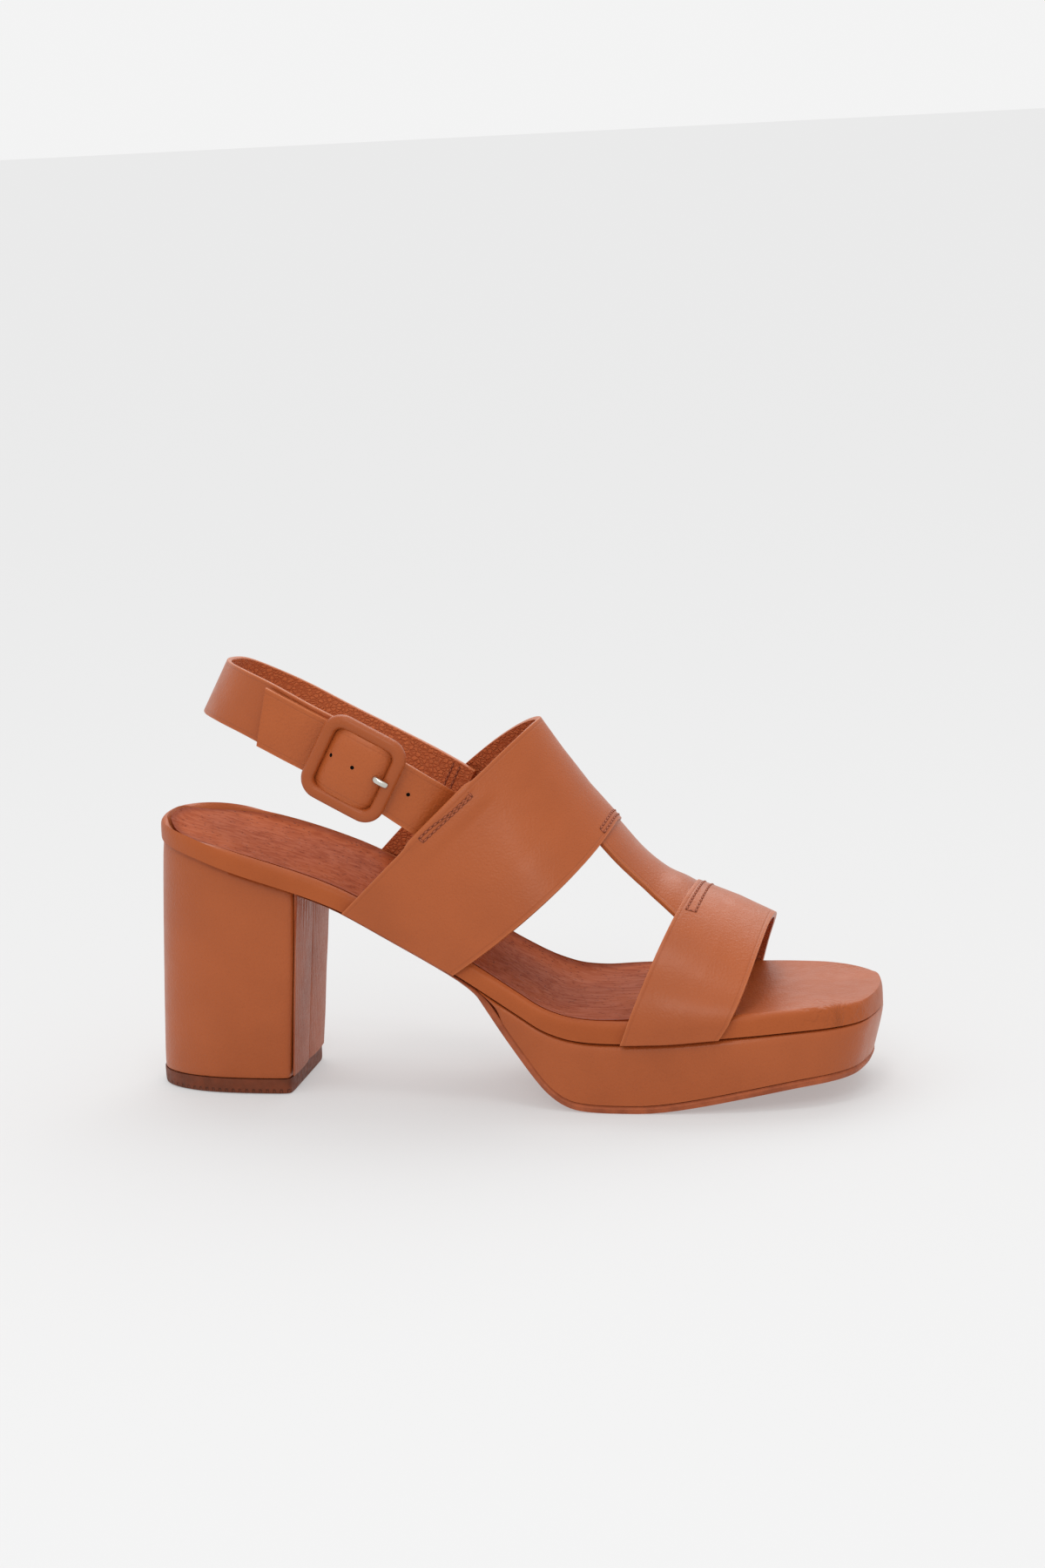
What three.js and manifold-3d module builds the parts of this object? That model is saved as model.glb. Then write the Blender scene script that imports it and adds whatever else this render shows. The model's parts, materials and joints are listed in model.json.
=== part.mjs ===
// Heeled platform sandal, right shoe: block heel, wedge platform, T-strap upper and buckled heel strap.
// Millimetres, +X towards the toe, +Y towards the medial (inner) side, +Z up from the floor.
import * as THREE from "three";
import { mergeVertices } from "three/addons/utils/BufferGeometryUtils.js";
import Module from "manifold-3d";

const wasm = await Module();
wasm.setup();

// Driving dimensions of the last and the sole
const FOOTBED_LENGTH = 238;
const HEEL_SEAT_WIDTH = 60.8;
const WAIST_WIDTH = 61;
const BALL_WIDTH = 85.4;
const SEAT_HEIGHT = 90.2;
const BALL_HEIGHT = 29.9;
const TOE_HEIGHT = 32.9;
const TOE_SPRING = 8.4;
const RAND_HEIGHT = 6.9;
const FOOTBED_EDGE = 2.2;
const CUP_DEPTH = 2.3;
const CUP_RAMP = 9;
const SOCK_INSET = 3.5;
const SOCK_RIM = 0.5;
const SOCK_THICKNESS = 1;
const SOCK_LENGTH = 178;
const SOCK_BED = 0.45;
const OUTSOLE_THICKNESS = 2.5;
const WAIST_SOLE_THICKNESS = 1.4;
const PLATFORM_PROUD = 0.6;
const PLATFORM_BACK = 112;
const PLATFORM_TIP = 0.5;
const SOLE_EDGE = 0.8;
const SOLE_LIP = 0.6;
const TOE_LEAN = 3.2;

// Driving dimensions of the heel
const HEEL_TOP_LENGTH = 50.2;
const HEEL_TOP_WIDTH = 55;
const HEEL_FOOT_LENGTH = 49;
const HEEL_FOOT_WIDTH = 48.4;
const HEEL_BACK_LEAN = 4.6;
const HEEL_TURN = THREE.MathUtils.degToRad(2.5);
const HEEL_CORNER = 2.5;
const HEEL_TIP_HEIGHT = 5.2;

// Driving dimensions of the upper
const STRAP_WALL = 2;
const INSTEP_HEIGHT = 90;
const VAMP_HEIGHT = 35;
const TEE_WIDTH = 31;
const TEE_CROWN = 24;
const TEE_TUCK = 1.4;

// Driving dimensions of the heel strap and its buckle
const HEEL_STRAP_WIDTH = 19.6;
const HEEL_STRAP_WALL = 1.6;
const HEEL_STRAP_HEIGHT = 133.5;
const HEEL_STRAP_BACK = 23.2;
const HEEL_STRAP_SLOPE = THREE.MathUtils.degToRad(28.6);
const HEEL_STRAP_SPREAD = 58;
const BUCKLE_REACH = 57.2;
const BUCKLE_LIFT = 5.9;
const BUCKLE_SIZE = 29.6;
const BUCKLE_BAND = 4.5;
const BUCKLE_THICKNESS = 4.2;
const BUCKLE_CORNER = 7;
const BUCKLE_STRAP_WIDTH = 18.6;
const BUCKLE_STRAP_WALL = 1.6;
const BUCKLE_STRAP_TAIL = 39;
const STRAP_OVERLAP = 8.9;
const BAR_RADIUS = 1.2;
const EYE_WALL = 0.8;
const EYE_NOTCH = 4.6;
const PRONG_WIDTH = 1.9;
const PRONG_THICKNESS = 1.3;
const PRONG_HOLE = 2.8;
const PRONG_SLOT = 5.8;
const TAIL_CUT = THREE.MathUtils.degToRad(16);

// Gap that neighbouring pieces keep where they touch
const FIT = 0.3;

const PITCH_RISE = SEAT_HEIGHT - BALL_HEIGHT;
const SIDES = { lateral: -1, medial: 1 };

// Plan of the footbed: each row follows one named width; the halves are shares of it
const PLAN = [
  { at: 0.189, width: HEEL_SEAT_WIDTH, lateral: 0.5, medial: 0.5 },
  { at: 0.315, width: HEEL_SEAT_WIDTH, lateral: 0.5, medial: 0.484 },
  { at: 0.441, width: WAIST_WIDTH, lateral: 0.533, medial: 0.467 },
  { at: 0.504, width: WAIST_WIDTH, lateral: 0.574, medial: 0.492 },
  { at: 0.546, width: BALL_WIDTH, lateral: 0.439, medial: 0.388 },
  { at: 0.588, width: BALL_WIDTH, lateral: 0.468, medial: 0.439 },
  { at: 0.63, width: BALL_WIDTH, lateral: 0.489, medial: 0.482 },
  { at: 0.672, width: BALL_WIDTH, lateral: 0.496, medial: 0.503 },
  { at: 0.723, width: BALL_WIDTH, lateral: 0.495, medial: 0.506 },
  { at: 0.777, width: BALL_WIDTH, lateral: 0.485, medial: 0.489 },
  { at: 0.861, width: BALL_WIDTH, lateral: 0.447, medial: 0.447 },
  { at: 0.916, width: BALL_WIDTH, lateral: 0.396, medial: 0.404 },
];
const HEEL_ROUND = { at: PLAN[0].at, fullness: 2.3 };
const TOE_ROUND = {
  lateral: { shoulder: [0.995, 0.325], front: [0.9985, 0.15] },
  medial: { shoulder: [0.994, 0.311], front: [0.9985, 0.135] },
};

// Top edge of the footbed: pitch is the share of the heel's rise, spring the share of the toe's lift
const TOP_LINE = [
  { at: 0, pitch: 1, spring: 0 },
  { at: 0.063, pitch: 0.958, spring: 0 },
  { at: 0.126, pitch: 0.883, spring: 0 },
  { at: 0.21, pitch: 0.783, spring: 0 },
  { at: 0.273, pitch: 0.693, spring: 0 },
  { at: 0.353, pitch: 0.529, spring: 0 },
  { at: 0.441, pitch: 0.34, spring: 0 },
  { at: 0.492, pitch: 0.2205, spring: 0 },
  { at: 0.5315, pitch: 0.131, spring: 0 },
  { at: 0.5715, pitch: 0.048, spring: 0 },
  { at: 0.613, pitch: 0.01, spring: 0 },
  { at: 0.651, pitch: 0, spring: 0 },
  { at: 0.731, pitch: 0, spring: 0.13 },
  { at: 0.811, pitch: 0, spring: 0.53 },
  { at: 0.92, pitch: 0, spring: 0.9 },
  { at: 1, pitch: 0, spring: 1 },
];

// Height of the medial top edge above the lateral one, as a share of the rand
const CANT = [
  { at: 0, medial: 0.42 },
  { at: 0.2, medial: 0.25 },
  { at: 0.33, medial: 0.17 },
  { at: 0.42, medial: -0.15 },
  { at: 0.47, medial: -0.42 },
  { at: 0.52, medial: -0.42 },
  { at: 0.58, medial: -0.15 },
  { at: 0.65, medial: 0.08 },
  { at: 0.8, medial: 0 },
  { at: 1, medial: 0 },
];

// Underside: the shank's thickness, then the wedge as a share of the seam's own height and the toe's lift
const SHANK_LINE = [
  { at: 0.2, thickness: 0.25 },
  { at: 0.272, thickness: 0.5 },
  { at: 0.353, thickness: 1 },
  { at: 0.466, thickness: 1 },
];
const GROUND_LINE = [
  { at: 0.466, drop: 0.962, lift: 0 },
  { at: 0.4874, drop: 0.832, lift: 0 },
  { at: 0.5076, drop: 0.692, lift: 0 },
  { at: 0.5273, drop: 0.549, lift: 0 },
  { at: 0.5462, drop: 0.396, lift: 0 },
  { at: 0.5714, drop: 0.19, lift: 0 },
  { at: 0.5996, drop: 0.05, lift: 0 },
  { at: 0.63, drop: 0, lift: 0 },
  { at: 0.715, drop: 0, lift: 0 },
  { at: 0.744, drop: 0, lift: 0.11 },
  { at: 0.798, drop: 0, lift: 0.345 },
  { at: 0.851, drop: 0, lift: 0.61 },
  { at: 0.92, drop: 0, lift: 0.87 },
  { at: 1, drop: 0, lift: 1 },
];

// Sections of the two bands: feet are where the band crosses the footbed's top edge, crest is its top.
// sweep bends the section forward as it climbs (1 is a straight plane), bow hollows its middle.
const INSTEP_BAND = [
  { lateral: 0.302, medial: 0.274, crest: 0.538, rise: 1, lean: 0.035, full: 1.9,
    sweepLateral: 1, sweepMedial: 0.75, bow: 0 },
  { lateral: 0.354, medial: 0.324, crest: 0.567, rise: 0.88, lean: 0.035, full: 1.82,
    sweepLateral: 1.15, sweepMedial: 0.95, bow: -0.004 },
  { lateral: 0.406, medial: 0.377, crest: 0.602, rise: 0.75, lean: 0.03, full: 1.72,
    sweepLateral: 1.36, sweepMedial: 1.2, bow: -0.009 },
  { lateral: 0.459, medial: 0.432, crest: 0.643, rise: 0.623, lean: 0.025, full: 1.6,
    sweepLateral: 1.62, sweepMedial: 1.45, bow: -0.013 },
];
const FRONT_BAND = [
  { lateral: 0.685, medial: 0.694, crest: 0.749, rise: 0.985, lean: 0.035, full: 1.7,
    sweepLateral: 0.87, sweepMedial: 0.9, bow: 0.002 },
  { lateral: 0.753, medial: 0.757, crest: 0.803, rise: 0.835, lean: 0.037, full: 1.68,
    sweepLateral: 1.6, sweepMedial: 1.3, bow: 0 },
  { lateral: 0.822, medial: 0.811, crest: 0.854, rise: 0.672, lean: 0.037, full: 1.62,
    sweepLateral: 2.6, sweepMedial: 1.2, bow: -0.005 },
];

// Sections of the tee strap along the crest, from under the instep band to under the front band:
// bend is how sharply it is crowned across
const TEE_STRAP = [
  { at: 0.617, rise: 0.7, half: 0.45, bend: 1.5 },
  { at: 0.643, rise: 0.615, half: 0.45, bend: 1.42 },
  { at: 0.667, rise: 0.535, half: 0.452, bend: 1.13 },
  { at: 0.687, rise: 0.484, half: 0.468, bend: 1 },
  { at: 0.708, rise: 0.444, half: 0.516, bend: 0.95 },
  { at: 0.731, rise: 0.416, half: 0.6, bend: 0.93 },
  { at: 0.75, rise: 0.386, half: 0.66, bend: 0.78 },
  { at: 0.775, rise: 0.36, half: 0.68, bend: 0.75 },
];

// Inner face of the heel strap from the buckle's bar round the heel to inside the instep band:
// reach as a share of the buckle's on the lateral side and of the strap's end on the medial side,
// side as a share of the spread, lift and lean of the strap's width
const HEEL_STRAP_LINE = [
  { reach: 0.84, side: -0.5, lift: 0.35, lean: 0 },
  { reach: 0.6, side: -0.5, lift: 0.35, lean: 0 },
  { reach: 0.36, side: -0.475, lift: 0.34, lean: 0 },
  { reach: 0.16, side: -0.375, lift: 0.24, lean: 0 },
  { reach: 0.04, side: -0.205, lift: 0.1, lean: 0 },
  { reach: 0, side: 0, lift: 0, lean: 0 },
  { reach: 0.023, side: 0.205, lift: -0.05, lean: 0 },
  { reach: 0.093, side: 0.375, lift: -0.13, lean: 0 },
  { reach: 0.21, side: 0.475, lift: -0.17, lean: 0 },
  { reach: 0.379, side: 0.495, lift: -0.18, lean: 0 },
  { reach: 0.553, side: 0.465, lift: -0.13, lean: -0.05 },
  { reach: 0.728, side: 0.4, lift: -0.055, lean: -0.14 },
  { reach: 0.874, side: 0.345, lift: -0.025, lean: -0.2 },
];

// Inner face of the buckle strap: along the strap and out from the leg, with its turn inwards
// and its drop as a share of its width where it runs into the instep band
const BUCKLE_STRAP_LINE = [
  { along: -1, out: 0, turn: 0, drop: 0 },
  { along: -0.6, out: 0, turn: 0, drop: 0 },
  { along: -0.28, out: 0, turn: 0, drop: 0 },
  { along: -0.19, out: 0.25, turn: 0, drop: 0 },
  { along: -0.095, out: 0.83, turn: 0, drop: 0 },
  { along: 0, out: 1, turn: 0, drop: 0 },
  { along: 0.1, out: 0.83, turn: 0, drop: 0 },
  { along: 0.21, out: 0.25, turn: 0, drop: 0 },
  { along: 0.32, out: -0.16, turn: 0, drop: 0.03 },
  { along: 0.5, out: -0.68, turn: 0.1, drop: 0.11 },
  { along: 0.75, out: -1.85, turn: 0.3, drop: 0.24 },
  { along: 1, out: -3, turn: 0.45, drop: 0.36 },
];

// Materials
function finish(colour, roughness, metalness = 0) {
  return new THREE.MeshStandardMaterial({ color: colour, roughness, metalness });
}

const LEATHER = 0xa85c3c;
const LINING = 0x8a4a30;
const RUBBER = 0x6e3524;
const STEEL = 0xc8c8c8;

// Monotone cubic curve through one column of a table
function curveThrough(rows, along, value) {
  const xs = rows.map(along);
  const ys = rows.map(value);
  const slopes = xs.slice(1).map((x, i) => (ys[i + 1] - ys[i]) / (x - xs[i]));
  const tangents = xs.map((x, i) => {
    if (i === 0) return slopes[0];
    if (i === xs.length - 1) return slopes[i - 1];
    const product = slopes[i - 1] * slopes[i];
    return product <= 0 ? 0 : (2 * product) / (slopes[i - 1] + slopes[i]);
  });
  return (x) => {
    if (x <= xs[0]) return ys[0] + (x - xs[0]) * tangents[0];
    const last = xs.length - 1;
    if (x >= xs[last]) return ys[last] + (x - xs[last]) * tangents[last];
    const i = xs.findIndex((edge, k) => k > 0 && x <= edge) - 1;
    const step = xs[i + 1] - xs[i];
    const t = (x - xs[i]) / step;
    const ease = t * t * (3 - 2 * t);
    const start = t * (1 - t) * (1 - t) * step * tangents[i];
    const end = t * t * (t - 1) * step * tangents[i + 1];
    return ys[i] * (1 - ease) + ys[i + 1] * ease + start + end;
  };
}

const HEEL_STEPS = 7;
const TOE_STEPS = 5;

const lerp = THREE.MathUtils.lerp;
const alongFoot = (row) => row.at * FOOTBED_LENGTH;

const halfWidths = {
  lateral: curveThrough(PLAN, alongFoot, (row) => row.lateral * row.width),
  medial: curveThrough(PLAN, alongFoot, (row) => row.medial * row.width),
};

const lateralLine = curveThrough(
  TOP_LINE,
  alongFoot,
  (row) => BALL_HEIGHT + row.pitch * PITCH_RISE + row.spring * (TOE_HEIGHT - BALL_HEIGHT),
);
const cantLine = curveThrough(CANT, alongFoot, (row) => row.medial * RAND_HEIGHT);

// Height of the footbed's top edge, canted evenly from the lateral to the medial side
function topLine(x, y) {
  const width = halfWidths.lateral(x) + halfWidths.medial(x);
  const share = THREE.MathUtils.clamp((y + halfWidths.lateral(x)) / width, 0, 1);
  return lateralLine(x) + cantLine(x) * share;
}
const seamLine = (x, y) => topLine(x, y) - RAND_HEIGHT;

const groundShare = curveThrough(GROUND_LINE, alongFoot, (row) => row.drop);
const groundLift = curveThrough(GROUND_LINE, alongFoot, (row) => row.lift);
const wedgeLine = (x) => groundShare(x) * (lateralLine(x) - RAND_HEIGHT) + groundLift(x) * TOE_SPRING;
const shankThickness = curveThrough(SHANK_LINE, alongFoot, (row) => row.thickness * WAIST_SOLE_THICKNESS);
const roofLine = (x, y) => seamLine(x, y) - FIT;
const shankLine = (x, y) => roofLine(x, y) - shankThickness(x);
const wedgeStart = GROUND_LINE[0].at * FOOTBED_LENGTH;
const soleBottom = (x, y) => (x < wedgeStart ? shankLine(x, y) : Math.min(shankLine(x, y), wedgeLine(x)));

// Underside of the platform, leaving room for the outsole below it, square to the slope that it climbs
function platformFoot(x, y) {
  const step = 0.5;
  const slope = (wedgeLine(x + step) - wedgeLine(x - step)) / (2 * step);
  const grown = THREE.MathUtils.smoothstep(x, PLATFORM_BACK - 2, PLATFORM_BACK + 5);
  const thickness = lerp(WAIST_SOLE_THICKNESS, OUTSOLE_THICKNESS * Math.sqrt(1 + slope * slope), grown);
  return Math.min(roofLine(x, y) - PLATFORM_TIP, soleBottom(x, y) + thickness + FIT);
}

// Top of the outsole: bonded to the footbed along the waist, dipping under the platform's back edge
function outsoleTop(x, y) {
  if (x >= PLATFORM_BACK) return platformFoot(x, y) - FIT;
  const dip = THREE.MathUtils.smoothstep(x, PLATFORM_BACK - 9, PLATFORM_BACK - 1);
  return roofLine(x, y) - dip * (PLATFORM_TIP + FIT);
}

// Places along the foot where the sole's pieces have a row, the same for all so that they stay parallel
function stations(from, to) {
  const fine = FOOTBED_LENGTH / 80;
  const places = [from];
  for (let k = 0; k <= 80; k += 1) {
    const x = k * fine;
    const steep = x > PLATFORM_BACK && groundShare(x) > 0.02;
    if ((k % 3 === 0 || steep) && x > from + fine / 2 && x < to - fine / 2) places.push(x);
  }
  if (PLATFORM_BACK > from && PLATFORM_BACK < to) places.push(PLATFORM_BACK);
  places.push(to);
  return places.sort((a, b) => a - b);
}

// Half of the footbed's plan from the back of the heel to the front of the toe, as [x, y] points
function halfOutline(side, start, end) {
  const sign = SIDES[side];
  const halfWidth = halfWidths[side];
  const roundEnd = HEEL_ROUND.at * FOOTBED_LENGTH;
  const toeStart = PLAN[PLAN.length - 1].at * FOOTBED_LENGTH;
  const points = [];
  if (start <= 0) {
    const first = 0.22;
    for (let i = 0; i < HEEL_STEPS; i += 1) {
      const angle = lerp(first, Math.PI / 2, i / HEEL_STEPS);
      const power = 2 / HEEL_ROUND.fullness;
      const x = roundEnd * (1 - Math.cos(angle) ** power);
      points.push([x, sign * halfWidth(roundEnd) * Math.sin(angle) ** power]);
    }
  }
  const from = start <= 0 ? roundEnd : start;
  const to = Math.min(end, toeStart);
  stations(from, to).forEach((x) => points.push([x, sign * halfWidth(x)]));
  if (end > toeStart) {
    const round = TOE_ROUND[side];
    const corner = new THREE.QuadraticBezierCurve(
      new THREE.Vector2(toeStart, halfWidth(toeStart)),
      new THREE.Vector2(round.shoulder[0] * FOOTBED_LENGTH, round.shoulder[1] * BALL_WIDTH),
      new THREE.Vector2(round.front[0] * FOOTBED_LENGTH, round.front[1] * BALL_WIDTH),
    );
    for (let i = 1; i <= TOE_STEPS; i += 1) {
      const point = corner.getPoint(i / TOE_STEPS);
      points.push([point.x, sign * point.y]);
    }
  }
  return points;
}

// Closed loop round two matching half outlines; back and front bulge between the halves
function closeLoop(lateral, medial, shares, backBulge, frontBulge) {
  const columns = shares.length - 1;
  const rows = lateral.length - 1;
  const cross = (row, share, bulge) => {
    const crown = 4 * share * (1 - share) * bulge;
    const x = lerp(lateral[row][0], medial[row][0], share) + crown;
    return [x, lerp(lateral[row][1], medial[row][1], share)];
  };
  const loop = lateral.map((point) => [...point]);
  for (let j = 1; j < columns; j += 1) loop.push(cross(rows, shares[j], frontBulge));
  for (let i = rows; i >= 0; i -= 1) loop.push([...medial[i]]);
  for (let j = columns - 1; j > 0; j -= 1) loop.push(cross(0, shares[j], -backBulge));
  return { points: loop, rows, columns, shares };
}

// The same loop moved inwards by a distance, square to its own edges
function insetLoop(loop, distance) {
  const count = loop.points.length;
  const points = loop.points.map((point, i) => {
    const before = loop.points[(i + count - 1) % count];
    const after = loop.points[(i + 1) % count];
    const a = new THREE.Vector2(point[0] - before[0], point[1] - before[1]).normalize();
    const b = new THREE.Vector2(after[0] - point[0], after[1] - point[1]).normalize();
    const normal = new THREE.Vector2(-(a.y + b.y), a.x + b.x).normalize();
    const reach = distance / Math.max(0.5, normal.dot(new THREE.Vector2(-a.y, a.x)));
    return [point[0] + normal.x * reach, point[1] + normal.y * reach];
  });
  return { ...loop, points };
}

// Loop index of the grid point in a row and column, or -1 inside the loop
function loopIndex(loop, row, column) {
  const { rows, columns } = loop;
  if (column === 0) return row;
  if (row === rows) return rows + column;
  if (column === columns) return rows + columns + (rows - row);
  if (row === 0) return 2 * rows + 2 * columns - column;
  return -1;
}

// Turn vertices and triangles into a mesh
function meshOf(name, vertices, triangles, material) {
  const geometry = new THREE.BufferGeometry();
  geometry.setAttribute("position", new THREE.Float32BufferAttribute(vertices.flat(), 3));
  geometry.setIndex(triangles.flat());
  const mesh = new THREE.Mesh(geometry, material);
  mesh.name = name;
  return mesh;
}

// Solid between a top and a bottom surface: levels run from the top's rim down to the bottom's rim
function slab(name, levels, top, bottom, material) {
  const vertices = [];
  const triangles = [];
  const first = levels[0].loop;
  const count = first.points.length;
  levels.forEach(({ loop, height }) => {
    loop.points.forEach(([x, y]) => vertices.push([x, y, height(x, y)]));
  });
  for (let level = 0; level < levels.length - 1; level += 1) {
    for (let i = 0; i < count; i += 1) {
      const next = (i + 1) % count;
      const a = level * count + i;
      const b = level * count + next;
      triangles.push([a, a + count, b + count], [a, b + count, b]);
    }
  }
  const cap = (loop, offset, height, upwards) => {
    const index = [];
    for (let i = 0; i <= loop.rows; i += 1) {
      index.push([]);
      for (let j = 0; j <= loop.columns; j += 1) {
        const rim = loopIndex(loop, i, j);
        if (rim >= 0) {
          index[i].push(offset + rim);
        } else {
          const left = loop.points[loopIndex(loop, i, 0)];
          const right = loop.points[loopIndex(loop, i, loop.columns)];
          const x = lerp(left[0], right[0], loop.shares[j]);
          const y = lerp(left[1], right[1], loop.shares[j]);
          index[i].push(vertices.length);
          vertices.push([x, y, height(x, y)]);
        }
      }
    }
    for (let i = 0; i < loop.rows; i += 1) {
      for (let j = 0; j < loop.columns; j += 1) {
        const [a, b, c, d] = [index[i][j], index[i + 1][j], index[i + 1][j + 1], index[i][j + 1]];
        if (upwards) triangles.push([a, b, c], [a, c, d]);
        else triangles.push([a, c, b], [a, d, c]);
      }
    }
  };
  cap(first, 0, top, true);
  cap(levels[levels.length - 1].loop, (levels.length - 1) * count, bottom, false);
  return meshOf(name, vertices, triangles, material);
}

// Depth of the hollow that cradles the foot, none along the edge and full a short way in
function cup(x, y) {
  const edge = Math.min(x, halfWidths.lateral(x) + y, halfWidths.medial(x) - y);
  const share = THREE.MathUtils.smoothstep(edge, FOOTBED_EDGE, FOOTBED_EDGE + CUP_RAMP);
  const fade = 1 - THREE.MathUtils.smoothstep(x, 0.55 * FOOTBED_LENGTH, 0.72 * FOOTBED_LENGTH);
  return CUP_DEPTH * share * lerp(0.25, 1, fade);
}

// Floor of the hollow, sunk by the sock's thickness and rising to the toe where the sock ends
function bed(x, y) {
  const fade = 1 - THREE.MathUtils.smoothstep(x, 0.85 * SOCK_LENGTH, 1.05 * SOCK_LENGTH);
  return topLine(x, y) - cup(x, y) - fade * (SOCK_BED + SOCK_THICKNESS);
}

const SOLE_SHARES = [0, 0.05, 0.13, 0.3, 0.5, 0.7, 0.87, 0.95, 1];
const PLAIN_SHARES = [0, 0.25, 0.5, 0.75, 1];

// Loop of the footbed's own outline, grown or shrunk, between two places along it
function footLoop(start, end, inset, shares) {
  const lateral = halfOutline("lateral", start, end);
  const medial = halfOutline("medial", start, end);
  const backBulge = start <= 0 ? lateral[0][0] : 0;
  const frontBulge = end >= FOOTBED_LENGTH ? 0.005 * FOOTBED_LENGTH : 0;
  return insetLoop(closeLoop(lateral, medial, shares, backBulge, frontBulge), inset);
}

// The same loop with its toe drawn back, as the sole's front leans
function leanToe(loop) {
  const points = loop.points.map(([x, y]) => {
    const share = THREE.MathUtils.smoothstep(x, 0.88 * FOOTBED_LENGTH, FOOTBED_LENGTH);
    return [x - share * TOE_LEAN, y];
  });
  return { ...loop, points };
}

// Footbed: wrapped board with a soft rounded top edge and a cradled seat
function footbed() {
  const loop = footLoop(0, FOOTBED_LENGTH, 0, SOLE_SHARES);
  const edge = (share) => FOOTBED_EDGE * share;
  const levels = [
    { loop: insetLoop(loop, SOCK_INSET - SOCK_RIM), height: bed },
    { loop: insetLoop(loop, edge(1)), height: (x, y) => topLine(x, y) - cup(x, y) },
    { loop: insetLoop(loop, edge(0.3)), height: (x, y) => topLine(x, y) - edge(0.3) },
    { loop, height: (x, y) => topLine(x, y) - edge(1) },
    { loop, height: seamLine },
  ];
  return slab("footbed", levels, bed, seamLine, finish(LEATHER, 0.42));
}

// Sock: thin lining bonded in the hollow of the footbed, from the heel to under the front band
function sock() {
  const loop = footLoop(0, SOCK_LENGTH, SOCK_INSET, SOLE_SHARES);
  const under = (x, y) => bed(x, y) + SOCK_BED;
  const over = (x, y) => under(x, y) + SOCK_THICKNESS;
  const levels = [
    { loop, height: over },
    { loop, height: under },
  ];
  return slab("sock", levels, over, under, finish(LINING, 0.6));
}

// Platform: wedge that closes the space between footbed and outsole from the waist to the toe
function platform() {
  const loop = footLoop(PLATFORM_BACK, FOOTBED_LENGTH, -PLATFORM_PROUD, PLAIN_SHARES);
  const shoulder = (x, y) => {
    const roof = roofLine(x, y);
    return Math.max(roof - SOLE_EDGE, lerp(roof, platformFoot(x, y), 0.4));
  };
  const levels = [
    { loop: insetLoop(loop, SOLE_EDGE), height: roofLine },
    { loop, height: shoulder },
    { loop: leanToe(insetLoop(loop, SOLE_LIP)), height: platformFoot },
  ];
  return slab("platform", levels, roofLine, platformFoot, finish(LEATHER, 0.4));
}

// The same loop with its back edge turned square to the heel's breast
function turnBack(loop, start) {
  const points = loop.points.map(([x, y]) => {
    const share = 1 - THREE.MathUtils.smoothstep(x, start, start + 0.08 * FOOTBED_LENGTH);
    return [x - share * y * Math.tan(HEEL_TURN), y];
  });
  return { ...loop, points };
}

// Outsole: rubber sheet from the breast of the heel down the wedge to the toe
function outsole() {
  const start = HEEL_TOP_LENGTH + FIT;
  const loop = leanToe(turnBack(footLoop(start, FOOTBED_LENGTH, 0, PLAIN_SHARES), start));
  const levels = [
    { loop: insetLoop(loop, SOLE_LIP), height: outsoleTop },
    { loop, height: (x, y) => lerp(outsoleTop(x, y), soleBottom(x, y), 0.35) },
    { loop: insetLoop(loop, SOLE_EDGE), height: soleBottom },
  ];
  return slab("outsole", levels, outsoleTop, soleBottom, finish(RUBBER, 0.55));
}

// D-shaped loop of the heel: round back, straight sides and a flat breast with small corners
function heelLoop(back, breast, width, inset) {
  const roundEnd = back + (breast - back) * 0.8;
  const power = 2 / HEEL_ROUND.fullness;
  const half = (sign) => {
    const points = [];
    const steps = 9;
    for (let i = 0; i <= steps; i += 1) {
      const angle = lerp(0.22, Math.PI / 2, i / steps);
      const x = roundEnd - (roundEnd - back) * Math.cos(angle) ** power;
      points.push([x, (sign * width * Math.sin(angle) ** power) / 2]);
    }
    const corner = HEEL_CORNER * (1 - Math.SQRT1_2);
    const face = breast - (Math.tan(HEEL_TURN) * sign * width) / 2;
    points.push([face - HEEL_CORNER, (sign * width) / 2]);
    points.push([face - corner, sign * (width / 2 - corner)]);
    points.push([face, sign * (width / 2 - HEEL_CORNER)]);
    return points;
  };
  const lateral = half(-1);
  return insetLoop(closeLoop(lateral, half(1), PLAIN_SHARES, lateral[0][0] - back, 0), inset);
}

// Heel block: leather-covered, hollowed on top to take the seat, leaning back a little as it goes down
function heelBlock() {
  const top = heelLoop(0, HEEL_TOP_LENGTH, HEEL_TOP_WIDTH, 0);
  const foot = heelLoop(-HEEL_BACK_LEAN, HEEL_FOOT_LENGTH - HEEL_BACK_LEAN, HEEL_FOOT_WIDTH, 0);
  const floor = () => HEEL_TIP_HEIGHT + FIT;
  const levels = [
    { loop: insetLoop(top, SOLE_EDGE), height: roofLine },
    { loop: top, height: (x, y) => roofLine(x, y) - SOLE_EDGE },
    { loop: foot, height: () => floor() + SOLE_EDGE },
    { loop: insetLoop(foot, SOLE_EDGE / 2), height: floor },
  ];
  return slab("heel_block", levels, roofLine, floor, finish(LEATHER, 0.4));
}

// Heel tip: the rubber top piece that stands on the floor
function heelTip() {
  const loop = heelLoop(-HEEL_BACK_LEAN, HEEL_FOOT_LENGTH - HEEL_BACK_LEAN, HEEL_FOOT_WIDTH, 0);
  const flat = (height) => () => height;
  const levels = [
    { loop, height: flat(HEEL_TIP_HEIGHT) },
    { loop, height: flat(SOLE_EDGE / 2) },
    { loop: insetLoop(loop, SOLE_EDGE / 2), height: flat(0) },
  ];
  return slab("heel_tip", levels, flat(HEEL_TIP_HEIGHT), flat(0), finish(RUBBER, 0.6));
}

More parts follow.
